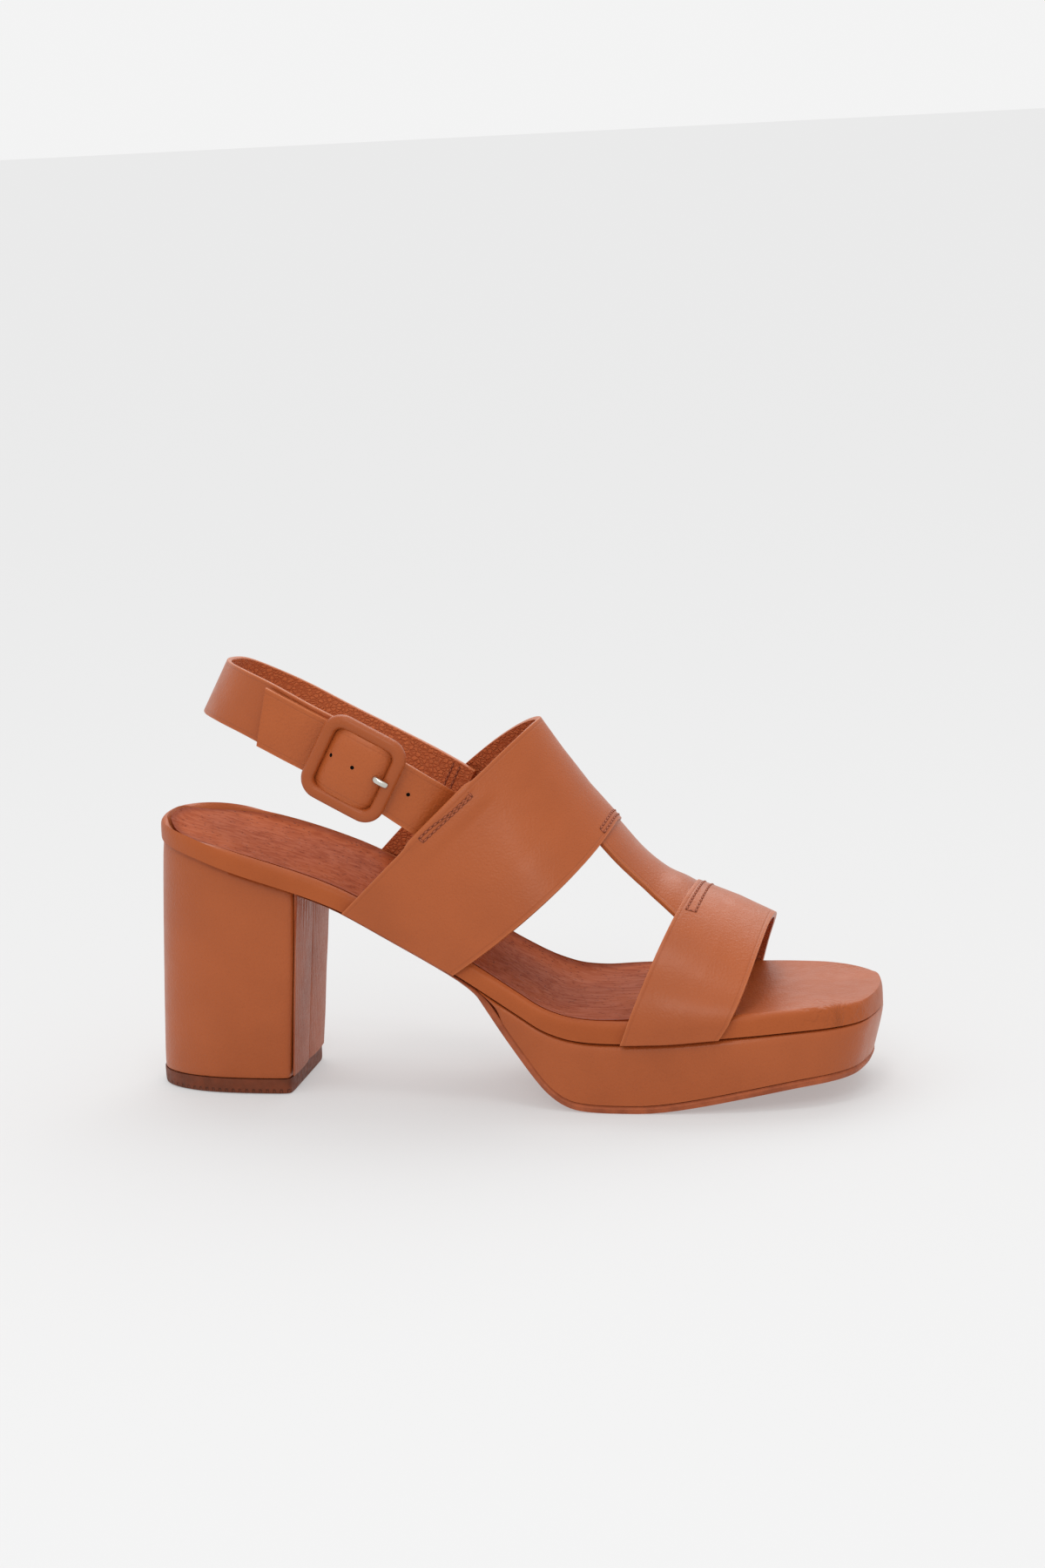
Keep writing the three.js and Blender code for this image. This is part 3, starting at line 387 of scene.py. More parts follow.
@dataclass(frozen=True)
class SmoothLeather:
    """Drum-dyed smooth leather with a fine pore, a soft gloss and folded edges creased by a roller, with
    painted shade in the crease and a painted highlight along the edge.
    """

    name: str
    base: Colour = linear(171, 86, 42)
    deep: Colour = linear(161, 79, 37)
    speck: Colour = linear(138, 62, 28)
    roughness: float = 0.37
    specular: float = 0.36
    coat: float = 0.12
    coat_roughness: float = 0.24
    cloud: float = 30.0
    wear: float = 200.0
    pore: float = 1700.0
    relief: float = 0.00008
    wave: float = 45.0
    wave_depth: float = 0.00035
    edge_map: bool = False
    groove_at: float = 1.35
    groove_half: float = 0.4
    # Painted highlight along the folded edge, then painted shade in the groove beside it.
    worn: Colour = linear(200, 116, 70)
    pressed: Colour = linear(120, 52, 24)
    pleats: tuple[tuple[float, float, float], ...] = ()
    pleat_rate: float = 17.0
    pleat_fade: tuple[float, float] = (0.006, 0.017)

    def make(self) -> bpy.types.Material:
        """Build the material."""
        g = Graph(self.name)
        tone = g.blend(g.ramp(g.noise(self.cloud, 5), 0.3, 0.72, 0.0, 1.0), self.base, self.deep)
        tone = g.blend(g.ramp(g.noise(SPECKS, 2), 0.55, 0.8, 0.0, 0.35), tone, self.speck)
        g.values({"Specular IOR Level": self.specular, "Specular Tint": SHEEN, "Coat Weight": self.coat,
                  "Coat Roughness": self.coat_roughness, "Coat Tint": COAT_SHEEN})
        g.drive("Roughness",
                g.ramp(g.noise(self.wear, 3), 0.3, 0.7, self.roughness - 0.03, self.roughness + 0.05))
        g.bump(g.cells(self.pore, "SMOOTH_F1"), self.relief, 0.7)
        g.bump(g.noise(FINE_GRAIN, 5), self.relief * 2.6, 0.6)
        g.bump(g.noise(self.wave, 2), self.wave_depth, 0.2)
        if self.edge_map:
            tone = self.pressed_edge(g, tone)
        for centre in self.pleats:
            self.fan(g, centre)
        g.drive("Base Color", tone)
        return g.material

    def pressed_edge(self, g: Graph, tone: bpy.types.NodeSocket) -> bpy.types.NodeSocket:
        """Groove beside each folded edge, with painted shade in the groove and a painted highlight on the
        rim outside it.

        Args:
            g: The graph.
            tone: Colour so far.

        Returns:
            The colour with the painted shade and the painted highlight.
        """
        distance = g.edge_distance()
        away = g.math("ABSOLUTE", g.math("SUBTRACT", distance, self.groove_at))
        groove = g.ramp(away, 0.0, self.groove_half, 0.0, 1.0)
        g.bump(groove, 0.00016, 0.55)
        # Painted shade in the groove, then a painted highlight on the rim at the edge.
        tone = g.blend(g.ramp(away, 0.0, 0.3, 0.12, 0.0), tone, self.pressed)
        return g.blend(g.ramp(distance, 0.05, 0.7, 0.4, 0.0), tone, self.worn)

    def fan(self, g: Graph, centre: tuple[float, float, float]) -> None:
        """Gathered pleats that run out from a corner.

        Args:
            g: The graph.
            centre: The corner, in metres.
        """
        shifted = g.node("ShaderNodeVectorMath", operation="SUBTRACT")
        g.link(g.coords, shifted.inputs[0])
        shifted.inputs[1].default_value = centre
        angle = g.math("ARCTAN2", g.axis(shifted.outputs[0], "Y"), g.axis(shifted.outputs[0], "X"))
        wobble = g.math("MULTIPLY", g.noise(260, 2), 1.1)
        wave = g.math("SINE", g.math("MULTIPLY", g.math("ADD", angle, wobble), self.pleat_rate))
        reach = g.node("ShaderNodeVectorMath", operation="LENGTH")
        g.link(shifted.outputs[0], reach.inputs[0])
        fade = g.ramp(reach.outputs["Value"], *self.pleat_fade, 1.0, 0.0)
        g.bump(g.math("MULTIPLY", wave, fade), 0.00022, 0.6)


@dataclass(frozen=True)
class GrainedLining:
    """Deep red-brown lining leather with an open pebble grain."""

    name: str
    base: Colour = linear(200, 108, 64)
    deep: Colour = linear(170, 84, 48)
    pebble: float = 560.0

    def make(self) -> bpy.types.Material:
        """Build the material."""
        g = Graph(self.name)
        cells = g.cells(self.pebble, "DISTANCE_TO_EDGE", g.mapped((1, 1, 1.5)))
        uneven = g.ramp(g.noise(420, 3), 0.3, 0.6, 0.6, 1.0)
        grain = g.math("MULTIPLY", g.ramp(cells, 0.0, 0.24, 0.15, 1.0), uneven)
        g.drive("Base Color", g.blend(grain, self.deep, self.base))
        g.values({"Roughness": 0.5, "Specular IOR Level": 0.3, "Specular Tint": WARM_SHEEN})
        g.bump(grain, 0.0003, 0.9)
        g.bump(g.noise(240, 4), 0.0005, 0.4)
        return g.material


@dataclass(frozen=True)
class PigskinSock:
    """Brown sock leather, darker towards its rim, with short pores and streaks along the foot."""

    name: str
    base: Colour = linear(168, 79, 38)
    deep: Colour = linear(146, 63, 30)
    pore: Colour = linear(98, 38, 18)
    cloud: Colour = linear(176, 86, 42)
    burnish: Colour = linear(124, 50, 24)

    def make(self) -> bpy.types.Material:
        """Build the material."""
        g = Graph(self.name)
        streak = g.noise(620, 5, g.mapped((0.2, 1, 1)), 0.3)
        tone = g.blend(g.ramp(streak, 0.35, 0.72, 0.0, 1.0), self.base, self.deep)
        tone = g.blend(g.ramp(g.noise(60, 3), 0.4, 0.7, 0.0, 0.55), tone, self.cloud)
        # Darker within a few millimetres of the rim.
        tone = g.blend(g.ramp(g.edge_distance(), 0.2, 3.5, 0.7, 0.0), tone, self.burnish)
        dash = g.ramp(g.cells(820, "F1", g.mapped((0.5, 1, 1))), 0.1, 0.26, 0.85, 0.0)
        g.drive("Base Color", g.blend(dash, tone, self.pore))
        g.values({"Specular IOR Level": 0.1, "Specular Tint": WARM_SHEEN})
        g.drive("Roughness", g.ramp(streak, 0.3, 0.7, 0.55, 0.7))
        g.bump(dash, -0.00018, 0.9)
        g.bump(streak, 0.00008, 0.5)
        g.bump(g.noise(28, 2), 0.0007, 0.3)
        return g.material


@dataclass(frozen=True)
class MouldedRubber:
    """Brown moulded rubber, matt, with a fine sanded edge."""

    name: str
    base: Colour = linear(172, 88, 52)
    deep: Colour = linear(148, 72, 42)
    notch_pitch: float = 0.0
    notch_top: tuple[float, float] = (0.0012, 0.002)

    def make(self) -> bpy.types.Material:
        """Build the material."""
        g = Graph(self.name)
        g.drive("Base Color", g.blend(g.ramp(g.noise(180, 4), 0.3, 0.7, 0.0, 1.0), self.base, self.deep))
        g.values({"Specular Tint": RUBBER_SHEEN})
        g.drive("Roughness", g.ramp(g.noise(500, 3), 0.3, 0.7, 0.5, 0.68))
        g.bump(g.noise(1400, 3), 0.00012, 0.6)
        g.bump(g.noise(700, 2, g.mapped((0.1, 0.1, 1.6))), 0.0001, 0.5)
        if self.notch_pitch:
            wave = g.math("SINE", g.math("MULTIPLY", g.axis(g.coords, "X"), 2 * math.pi / self.notch_pitch))
            cut = g.math("MULTIPLY", g.ramp(wave, 0.2, 0.8, 0.0, 1.0),
                         g.ramp(g.axis(g.coords, "Z"), *self.notch_top, 1.0, 0.0))
            g.bump(cut, -0.0006, 1.0)
        return g.material


@dataclass(frozen=True)
class PlatedSteel:
    """Bright plated steel with light rub marks."""

    name: str
    base: Colour = linear(214, 212, 205)
    deep: Colour = linear(192, 188, 178)

    def make(self) -> bpy.types.Material:
        """Build the material."""
        g = Graph(self.name)
        g.values({"Metallic": 1.0})
        g.drive("Base Color", g.blend(g.noise(400, 3), self.base, self.deep))
        g.drive("Roughness", g.ramp(g.noise(900, 3, g.mapped((0.2, 1, 1))), 0.3, 0.7, 0.18, 0.34))
        return g.material


@dataclass(frozen=True)
class WaxedThread:
    """Sewing thread dyed to the leather, with its twist as relief."""

    name: str
    base: Colour = linear(176, 92, 54)
    deep: Colour = linear(150, 72, 40)

    def make(self) -> bpy.types.Material:
        """Build the material."""
        g = Graph(self.name)
        g.drive("Base Color", g.blend(g.noise(1600, 2), self.base, self.deep))
        g.values({"Roughness": 0.55})
        g.bump(g.noise(3800, 2, g.mapped((1, 0.4, 1))), 0.00008, 0.7)
        return g.material


@dataclass(frozen=True)
class PaintedHoleShade:
    """Painted shade: dark colour for the unlit inside of a punched hole or a stitch hole, and for the pad
    under each stitch.
    """

    name: str
    base: Colour = linear(40, 20, 14)
    deep: Colour = linear(28, 14, 10)

    def make(self) -> bpy.types.Material:
        """Build the material."""
        g = Graph(self.name)
        g.drive("Base Color", g.blend(g.noise(2000, 2), self.base, self.deep))
        g.values({"Roughness": 0.9})
        return g.material


@dataclass(frozen=True)
class PaperSweep:
    """Pale seamless paper of the studio."""

    name: str
    base: Colour = (0.42, 0.42, 0.42)
    glow: float = 0.345

    def make(self) -> bpy.types.Material:
        """Build the material."""
        g = Graph(self.name)
        g.values({"Base Color": (*self.base, 1), "Roughness": 0.9, "Specular IOR Level": 0.0,
                  "Emission Color": (1, 1, 1, 1), "Emission Strength": self.glow})
        return g.material


TOE_PLEATS = ((0.2095, -0.0295, 0.0285), (0.2085, 0.0315, 0.0285))


class Slot(Enum):
    """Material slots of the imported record."""

    LEATHER = "leather"
    LINING = "lining"
    RUBBER = "rubber"
    STEEL = "steel"


def finish(kind: type, name: str, *values: object, **settings: object) -> bpy.types.Material:
    """Field of the wardrobe that makes one material.

    Args:
        kind: Class of the finish.
        name: Name of the material.
        values: First settings of the finish, in its own order.
        settings: Its other settings.

    Returns:
        The dataclass field.
    """
    return field(default_factory=lambda: kind(name, *values, **settings).make())


@dataclass
class Wardrobe:
    """Every finish, made once and shared by the pieces."""

    leather: bpy.types.Material = finish(SmoothLeather, "leather_smooth")
    strap: bpy.types.Material = finish(
        SmoothLeather, "leather_strap", linear(177, 90, 43), linear(168, 83, 39), roughness=0.45, pore=1150,
        relief=0.00013, edge_map=True, groove_at=1.6)
    cover: bpy.types.Material = finish(SmoothLeather, "leather_cover", linear(160, 78, 34), roughness=0.42)
    lining: bpy.types.Material = finish(GrainedLining, "leather_lining")
    sock: bpy.types.Material = finish(PigskinSock, "leather_sock")
    band: bpy.types.Material = finish(SmoothLeather, "leather_band", edge_map=True)
    wrap: bpy.types.Material = finish(
        SmoothLeather, "leather_wrap", roughness=0.45, specular=0.24, coat=0.04, pleats=TOE_PLEATS)
    breast: bpy.types.Material = finish(
        SmoothLeather, "leather_breast", linear(172, 84, 40), linear(150, 70, 34),
        roughness=0.4, specular=0.5, relief=0.00011)
    rubber: bpy.types.Material = finish(MouldedRubber, "rubber_brown")
    tip: bpy.types.Material = finish(
        MouldedRubber, "rubber_tip", linear(112, 50, 28), linear(92, 40, 22), notch_pitch=0.0024)
    steel: bpy.types.Material = finish(PlatedSteel, "steel_plated")
    thread: bpy.types.Material = finish(WaxedThread, "thread_tan")
    # Painted shade for the inside of the punched holes.
    hole: bpy.types.Material = finish(PaintedHoleShade, "hole_painted_shade")
    # Painted shade for the stitch holes and the pads under the stitches.
    needle: bpy.types.Material = finish(PaintedHoleShade, "stitch_painted_shade", linear(122, 57, 31), linear(104, 46, 25))


# Modelling steps that the pieces share


def alone(obj: bpy.types.Object) -> bpy.types.Object:
    """Select one object only and make it active."""
    if bpy.context.mode != "OBJECT":
        bpy.ops.object.mode_set(mode="OBJECT")
    bpy.ops.object.select_all(action="DESELECT")
    obj.select_set(True)
    bpy.context.view_layer.objects.active = obj
    return obj


def apply_all(obj: bpy.types.Object) -> None:
    """Apply every modifier of an object in order."""
    alone(obj)
    for modifier in list(obj.modifiers):
        bpy.ops.object.modifier_apply(modifier=modifier.name)


def settle(obj: bpy.types.Object) -> None:
    """Put an object's place and turn into its mesh."""
    alone(obj)
    bpy.ops.object.transform_apply(location=True, rotation=True, scale=True)


def soft_shade(obj: bpy.types.Object, limit: float) -> None:
    """Shade smooth except over edges that turn further than a limit."""
    alone(obj)
    bpy.ops.object.shade_smooth_by_angle(angle=limit)


def fit(obj: bpy.types.Object, slot: Slot, *nodes: str) -> bpy.types.Object:
    """Tell the frame what a finished piece rides on and stands for.

    Args:
        obj: The piece.
        slot: Its material slot in the record; not used.
        nodes: CAD nodes that it stands for.

    Returns:
        The piece.
    """
    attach(obj, "root")
    if nodes:
        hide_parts(*nodes)
    LOG.info("%s: %d faces", obj.name, len(obj.data.polygons))
    return obj


def write_edge_map(piece: bpy.types.Object, values: Sequence[tuple[float, float]]) -> None:
    """Store a share along and a distance from the edge for each vertex in the piece's edge map.

    Args:
        piece: The piece.
        values: Share along and distance in millimetres, one pair a vertex.
    """
    layer = piece.data.uv_layers.new(name=EDGE_MAP)
    for loop in piece.data.loops:
        share, distance = values[loop.vertex_index]
        layer.data[loop.index].uv = (share, distance / EDGE_UNIT)


def curved_panel(name: str, surface: Surface, along: int, across: int, inside: Vector,
                 row_of: Callable[[float], float] | None = None) -> bpy.types.Object:
    """Grid panel laid on a surface, its faces turned away from a point inside.

    Args:
        name: The piece's name.
        surface: Point of the surface for two shares from 0 to 1.
        along: Faces along the first share.
        across: Faces along the second share.
        inside: A point on the inner side of the panel.
        row_of: Spacing of the second share.

    Returns:
        The panel.
    """
    bpy.ops.object.select_all(action="DESELECT")
    bpy.ops.mesh.primitive_grid_add(x_subdivisions=along, y_subdivisions=across, size=2, location=(0, 0, 0),
                                    calc_uvs=False)
    panel = bpy.context.active_object
    panel.name = panel.data.name = name
    shares = [((p.co.x + 1) / 2, (p.co.y + 1) / 2) for p in panel.data.vertices]
    for vertex, (u, v) in zip(panel.data.vertices, shares):
        vertex.co = surface(u, row_of(v) if row_of else v)
    panel.data.update()
    columns: dict[int, list[int]] = {}
    for index, (u, v) in enumerate(shares):
        columns.setdefault(round(u * along), []).append(index)
    reach = [0.0] * len(shares)
    for column in columns.values():
        column.sort(key=lambda k: shares[k][1])
        run = [0.0]
        for a, b in zip(column, column[1:]):
            run.append(run[-1] + (panel.data.vertices[b].co - panel.data.vertices[a].co).length / MM)
        for index, length in zip(column, run):
            reach[index] = min(length, run[-1] - length)
    write_edge_map(panel, [(shares[k][0], reach[k]) for k in range(len(shares))])
    turned = sum(face.normal.dot(face.center - inside) * face.area for face in panel.data.polygons)
    if turned < 0:
        alone(panel)
        bpy.ops.object.mode_set(mode="EDIT")
        bpy.ops.mesh.select_all(action="SELECT")
        bpy.ops.mesh.flip_normals()
        bpy.ops.object.mode_set(mode="OBJECT")
    return panel


def edge_rich(v: float) -> float:
    """Spacing that gathers rows near both edges."""
    return EDGE_GATHER * (0.5 - 0.5 * math.cos(math.pi * v)) + (1 - EDGE_GATHER) * v


def wall(panel: bpy.types.Object, thickness: float, outer: bpy.types.Material, inner: bpy.types.Material,
         rounding: float) -> None:
    """Give a panel its thickness outwards, a lining inside and a folded round edge.

    Args:
        panel: The panel.
        thickness: Wall in metres.
        outer: Material of the outer face and the edge.
        inner: Material of the lining.
        rounding: Edge radius in metres.
    """
    panel.data.materials.append(outer)
    panel.data.materials.append(inner)
    solid = panel.modifiers.new("wall", "SOLIDIFY")
    solid.thickness = thickness
    solid.offset = 1.0
    solid.use_even_offset = True
    solid.material_offset = 1
    solid.material_offset_rim = 0
    edge = panel.modifiers.new("edge", "BEVEL")
    edge.width = rounding
    edge.segments = 3
    edge.limit_method = "ANGLE"
    edge.angle_limit = HARD_EDGE
    edge.harden_normals = False
    apply_all(panel)
    soft_shade(panel, HARD_EDGE)


def refined(frame: dict, node: str, name: str, levels: int = 2,
            crease_over: float = 62.0) -> bpy.types.Object:
    """Smooth copy of a CAD node: merged, turned to quads, creased on its hard edges and subdivided.

    Args:
        frame: The loaded frame.
        node: CAD node to copy.
        name: Name of the new piece.
        levels: Subdivision levels.
        crease_over: Edges sharper than this many degrees stay hard.

    Returns:
        The new piece.
    """
    piece = bpy.data.objects.new(name, frame["nodes"][node].data.copy())
    piece.data.name = name
    bpy.context.scene.collection.objects.link(piece)
    alone(piece)
    piece.data.materials.clear()
    bpy.ops.mesh.customdata_custom_splitnormals_clear()
    bpy.ops.object.mode_set(mode="EDIT")
    bpy.ops.mesh.select_all(action="SELECT")
    bpy.ops.mesh.remove_doubles(threshold=MERGE_WITHIN)
    bpy.ops.mesh.tris_convert_to_quads(face_threshold=math.radians(45), shape_threshold=math.radians(60))
    bpy.ops.object.mode_set(mode="OBJECT")
    shape = bmesh.new()
    shape.from_mesh(piece.data)
    crease = shape.edges.layers.float.new("crease_edge")
    for edge in shape.edges:
        if len(edge.link_faces) == 2 and edge.calc_face_angle() > math.radians(crease_over):
            edge[crease] = 1.0
    shape.to_mesh(piece.data)
    shape.free()
    smooth = piece.modifiers.new("smooth", "SUBSURF")
    smooth.levels = smooth.render_levels = levels
    apply_all(piece)
    soft_shade(piece, HARD_EDGE)
    return piece


Spot = tuple[Vector, Vector]


def skin(surface: Surface, u: float, v: float, inside: Vector, lift: float) -> Spot:
    """Point and normal on the outer face of a panel.

    Args:
        surface: The panel's inner face.
        u: First share.
        v: Second share.
        inside: A point on the panel's inner side.
        lift: Distance from the inner face in metres.

    Returns:
        The point and the normal there.
    """
    step = SLOPE_STEP
    one = surface(min(u + step, 1), v) - surface(max(u - step, 0), v)
    two = surface(u, min(v + step, 1)) - surface(u, max(v - step, 0))
    normal = one.cross(two).normalized()
    point = surface(u, v)
    if normal.dot(point - inside) < 0:
        normal.negate()
    return point + normal * lift, normal


@dataclass
class Stitching:
    """Rows of thread, each stitch a short capsule on a flat pad of painted shade, between two holes that are
    dark beads of painted shade.
    """

    thread: bpy.types.Material
    # Dark material of the painted shade in the holes and under each stitch.
    needle: bpy.types.Material
    pitch: float = 1.9
    length: float = 1.5
    radius: float = 0.34
    sink: float = 0.02
    channel: float = 0.44
    bed_height: float = 0.06
    hole_share: float = 0.85

    def bead(self, segments: int, rings: int, size: tuple[float, float, float], spot: tuple[float, float],
             material: int) -> bpy.types.Object:
        """Model one round part of a stitch.

        Args:
            segments: Faces round it.
            rings: Faces from end to end.
            size: Half its length, width and height in millimetres.
            spot: Its place along the row and up, in millimetres.
            material: 0 for thread, 1 for painted shade, the holes and the pad under the stitch.

        Returns:
            The part.
        """
        bpy.ops.object.select_all(action="DESELECT")
        bpy.ops.mesh.primitive_uv_sphere_add(segments=segments, ring_count=rings, radius=1,
                                             location=(spot[0] * MM, 0, spot[1] * MM))
        part = bpy.context.active_object
        part.scale = [length * MM for length in size]
        settle(part)
        part.data.materials.append(self.thread)
        part.data.materials.append(self.needle)
        for face in part.data.polygons:
            face.material_index = material
        return part

    def single(self) -> bpy.types.Object:
        """Model one stitch, lying along x with its outer side up."""
        stitch = self.bead(8, 6, (self.length / 2, self.radius, self.radius), (0, 0), 0)
        # The holes at both ends are dark beads of painted shade.
        hole = self.radius * self.hole_share
        places = [(way * self.pitch / 2, self.sink * 0.2) for way in (-1, 1)]
        ends = [self.bead(8, 5, (hole, hole, hole), place, 1) for place in places]
        # A flat dark pad under the stitch is painted shade, where the stitch's shadow falls.
        shade_pad = self.bead(12, 4, (self.pitch * 0.52, self.channel, self.bed_height), (0, self.sink + 0.02), 1)
        alone(stitch)
        for part in (*ends, shade_pad):
            part.select_set(True)
        bpy.ops.object.join()
        return stitch

    def spaced(self, path: Sequence[Spot]) -> list[tuple[Vector, Vector, Vector]]:
        """Even places along a path.

        Args:
            path: Points and normals.

        Returns:
            Point, normal and direction of each stitch.
        """
        total = sum((b[0] - a[0]).length for a, b in zip(path, path[1:]))
        count = max(round(total / (self.pitch * MM)), 1)
        gap, wanted, done, out = total / count, total / count / 2, 0.0, []
        for a, b in zip(path, path[1:]):
            span = (b[0] - a[0]).length
            while wanted <= done + span and span > 0:
                t = (wanted - done) / span
                out.append((a[0].lerp(b[0], t), a[1].lerp(b[1], t).normalized(), (b[0] - a[0]).normalized()))
                wanted += gap
            done += span
        return out

    def sew(self, name: str, paths: Sequence[Sequence[Spot]], node: str) -> bpy.types.Object:
        """Sew rows along paths and join them into one piece.

        Args:
            name: The piece's name.
            paths: Rows of points and normals.
            node: CAD node that the rows belong to.

        Returns:
            The piece.
        """
        pattern = self.single()
        copies = []
        for path in paths:
            for point, normal, along in self.spaced(path):
                side = normal.cross(along).normalized()
                turn = Matrix((along, side, along.cross(side))).transposed().to_4x4()
                copy = bpy.data.objects.new(name, pattern.data.copy())
                copy.data.transform(Matrix.Translation(point - normal * self.sink * MM) @ turn)
                bpy.context.scene.collection.objects.link(copy)
                copies.append(copy)
        bpy.data.objects.remove(pattern)
        rows = alone(copies[0])
        for copy in copies[1:]:
            copy.select_set(True)
        bpy.ops.object.join()
        rows.name = rows.data.name = name
        soft_shade(rows, ROUND_EDGE)
        return fit(rows, Slot.LEATHER, node)


# The last, and the soft pieces that follow it


@dataclass
class Last:
    """Outline and top edge of the footbed, from the part's own sizes in millimetres."""

    length: float = 238.0
    seat_width: float = 60.8
    waist_width: float = 61.0
    ball_width: float = 85.4
    seat_height: float = 90.2
    ball_height: float = 29.9
    toe_height: float = 32.9
    rand_height: float = 6.9
    edge: float = 2.2
    plan: tuple = (
        (0.189, "seat", 0.5, 0.5), (0.315, "seat", 0.5, 0.484), (0.441, "waist", 0.533, 0.467),
        (0.504, "waist", 0.574, 0.492), (0.546, "ball", 0.439, 0.388), (0.588, "ball", 0.468, 0.439),
        (0.63, "ball", 0.489, 0.482), (0.672, "ball", 0.496, 0.503), (0.723, "ball", 0.495, 0.506),
        (0.777, "ball", 0.485, 0.489), (0.861, "ball", 0.447, 0.447), (0.916, "ball", 0.396, 0.404),
    )
    pitch: tuple = (
        (0, 1, 0), (0.063, 0.958, 0), (0.126, 0.883, 0), (0.21, 0.783, 0), (0.273, 0.693, 0),
        (0.353, 0.529, 0), (0.441, 0.34, 0), (0.492, 0.2205, 0), (0.5315, 0.131, 0), (0.5715, 0.048, 0),
        (0.613, 0.01, 0), (0.651, 0, 0), (0.731, 0, 0.13), (0.811, 0, 0.53), (0.92, 0, 0.9), (1, 0, 1),
    )
    cant: tuple = ((0, 0.42), (0.2, 0.25), (0.33, 0.17), (0.42, -0.15), (0.47, -0.42), (0.52, -0.42),
                   (0.58, -0.15), (0.65, 0.08), (0.8, 0), (1, 0))

    def __post_init__(self) -> None:
        """Turn the tables into curves."""
        widths = {"seat": self.seat_width, "waist": self.waist_width, "ball": self.ball_width}
        at = [row[0] * self.length for row in self.plan]
        self.lateral = SmoothCurve(at, [row[2] * widths[row[1]] for row in self.plan])
        self.medial = SmoothCurve(at, [row[3] * widths[row[1]] for row in self.plan])
        rise = self.seat_height - self.ball_height
        lift = self.toe_height - self.ball_height
        self.near_rim = SmoothCurve([r[0] * self.length for r in self.pitch],
                                    [self.ball_height + r[1] * rise + r[2] * lift for r in self.pitch])
        self.tilt = SmoothCurve([r[0] * self.length for r in self.cant],
                                [r[1] * self.rand_height for r in self.cant])

    def half_width(self, side: int, x: float) -> float:
        """Half width on one side: -1 outer, 1 inner."""
        return self.lateral(x) if side < 0 else self.medial(x)

    def rim(self, side: int, x: float) -> float:
        """Height of the top edge on one side."""
        return self.near_rim(x) + (self.tilt(x) if side > 0 else 0.0)


@dataclass(frozen=True)
class Section:
    """One cross section of a band, in shares of the last's sizes."""

    lateral: float
    medial: float
    crest: float
    rise: float
    lean: float
    full: float
    sweep_lateral: float
    sweep_medial: float
    bow: float

    def mixed(self, other: "Section", share: float) -> "Section":
        """Section between this one and another."""
        names = self.__dataclass_fields__
        return Section(*(getattr(self, n) * (1 - share) + getattr(other, n) * share for n in names))


@dataclass(frozen=True)
class Bulge:
    """Raised place on a band, in shares of its width and girth."""

    rear: float
    front: float
    low: float
    high: float
    height: float
    soft: float = 0.035

    def height_at(self, u: float, v: float) -> float:
        """Height in millimetres at a place of the band."""
        wide = smoothstep(u, self.rear - self.soft, self.rear)
        wide *= smoothstep(-u, -self.front - self.soft, -self.front)
        tall = smoothstep(v, self.low - self.soft / 2, self.low)
        tall *= smoothstep(-v, -self.high - self.soft / 2, -self.high)
        return self.height * wide * tall


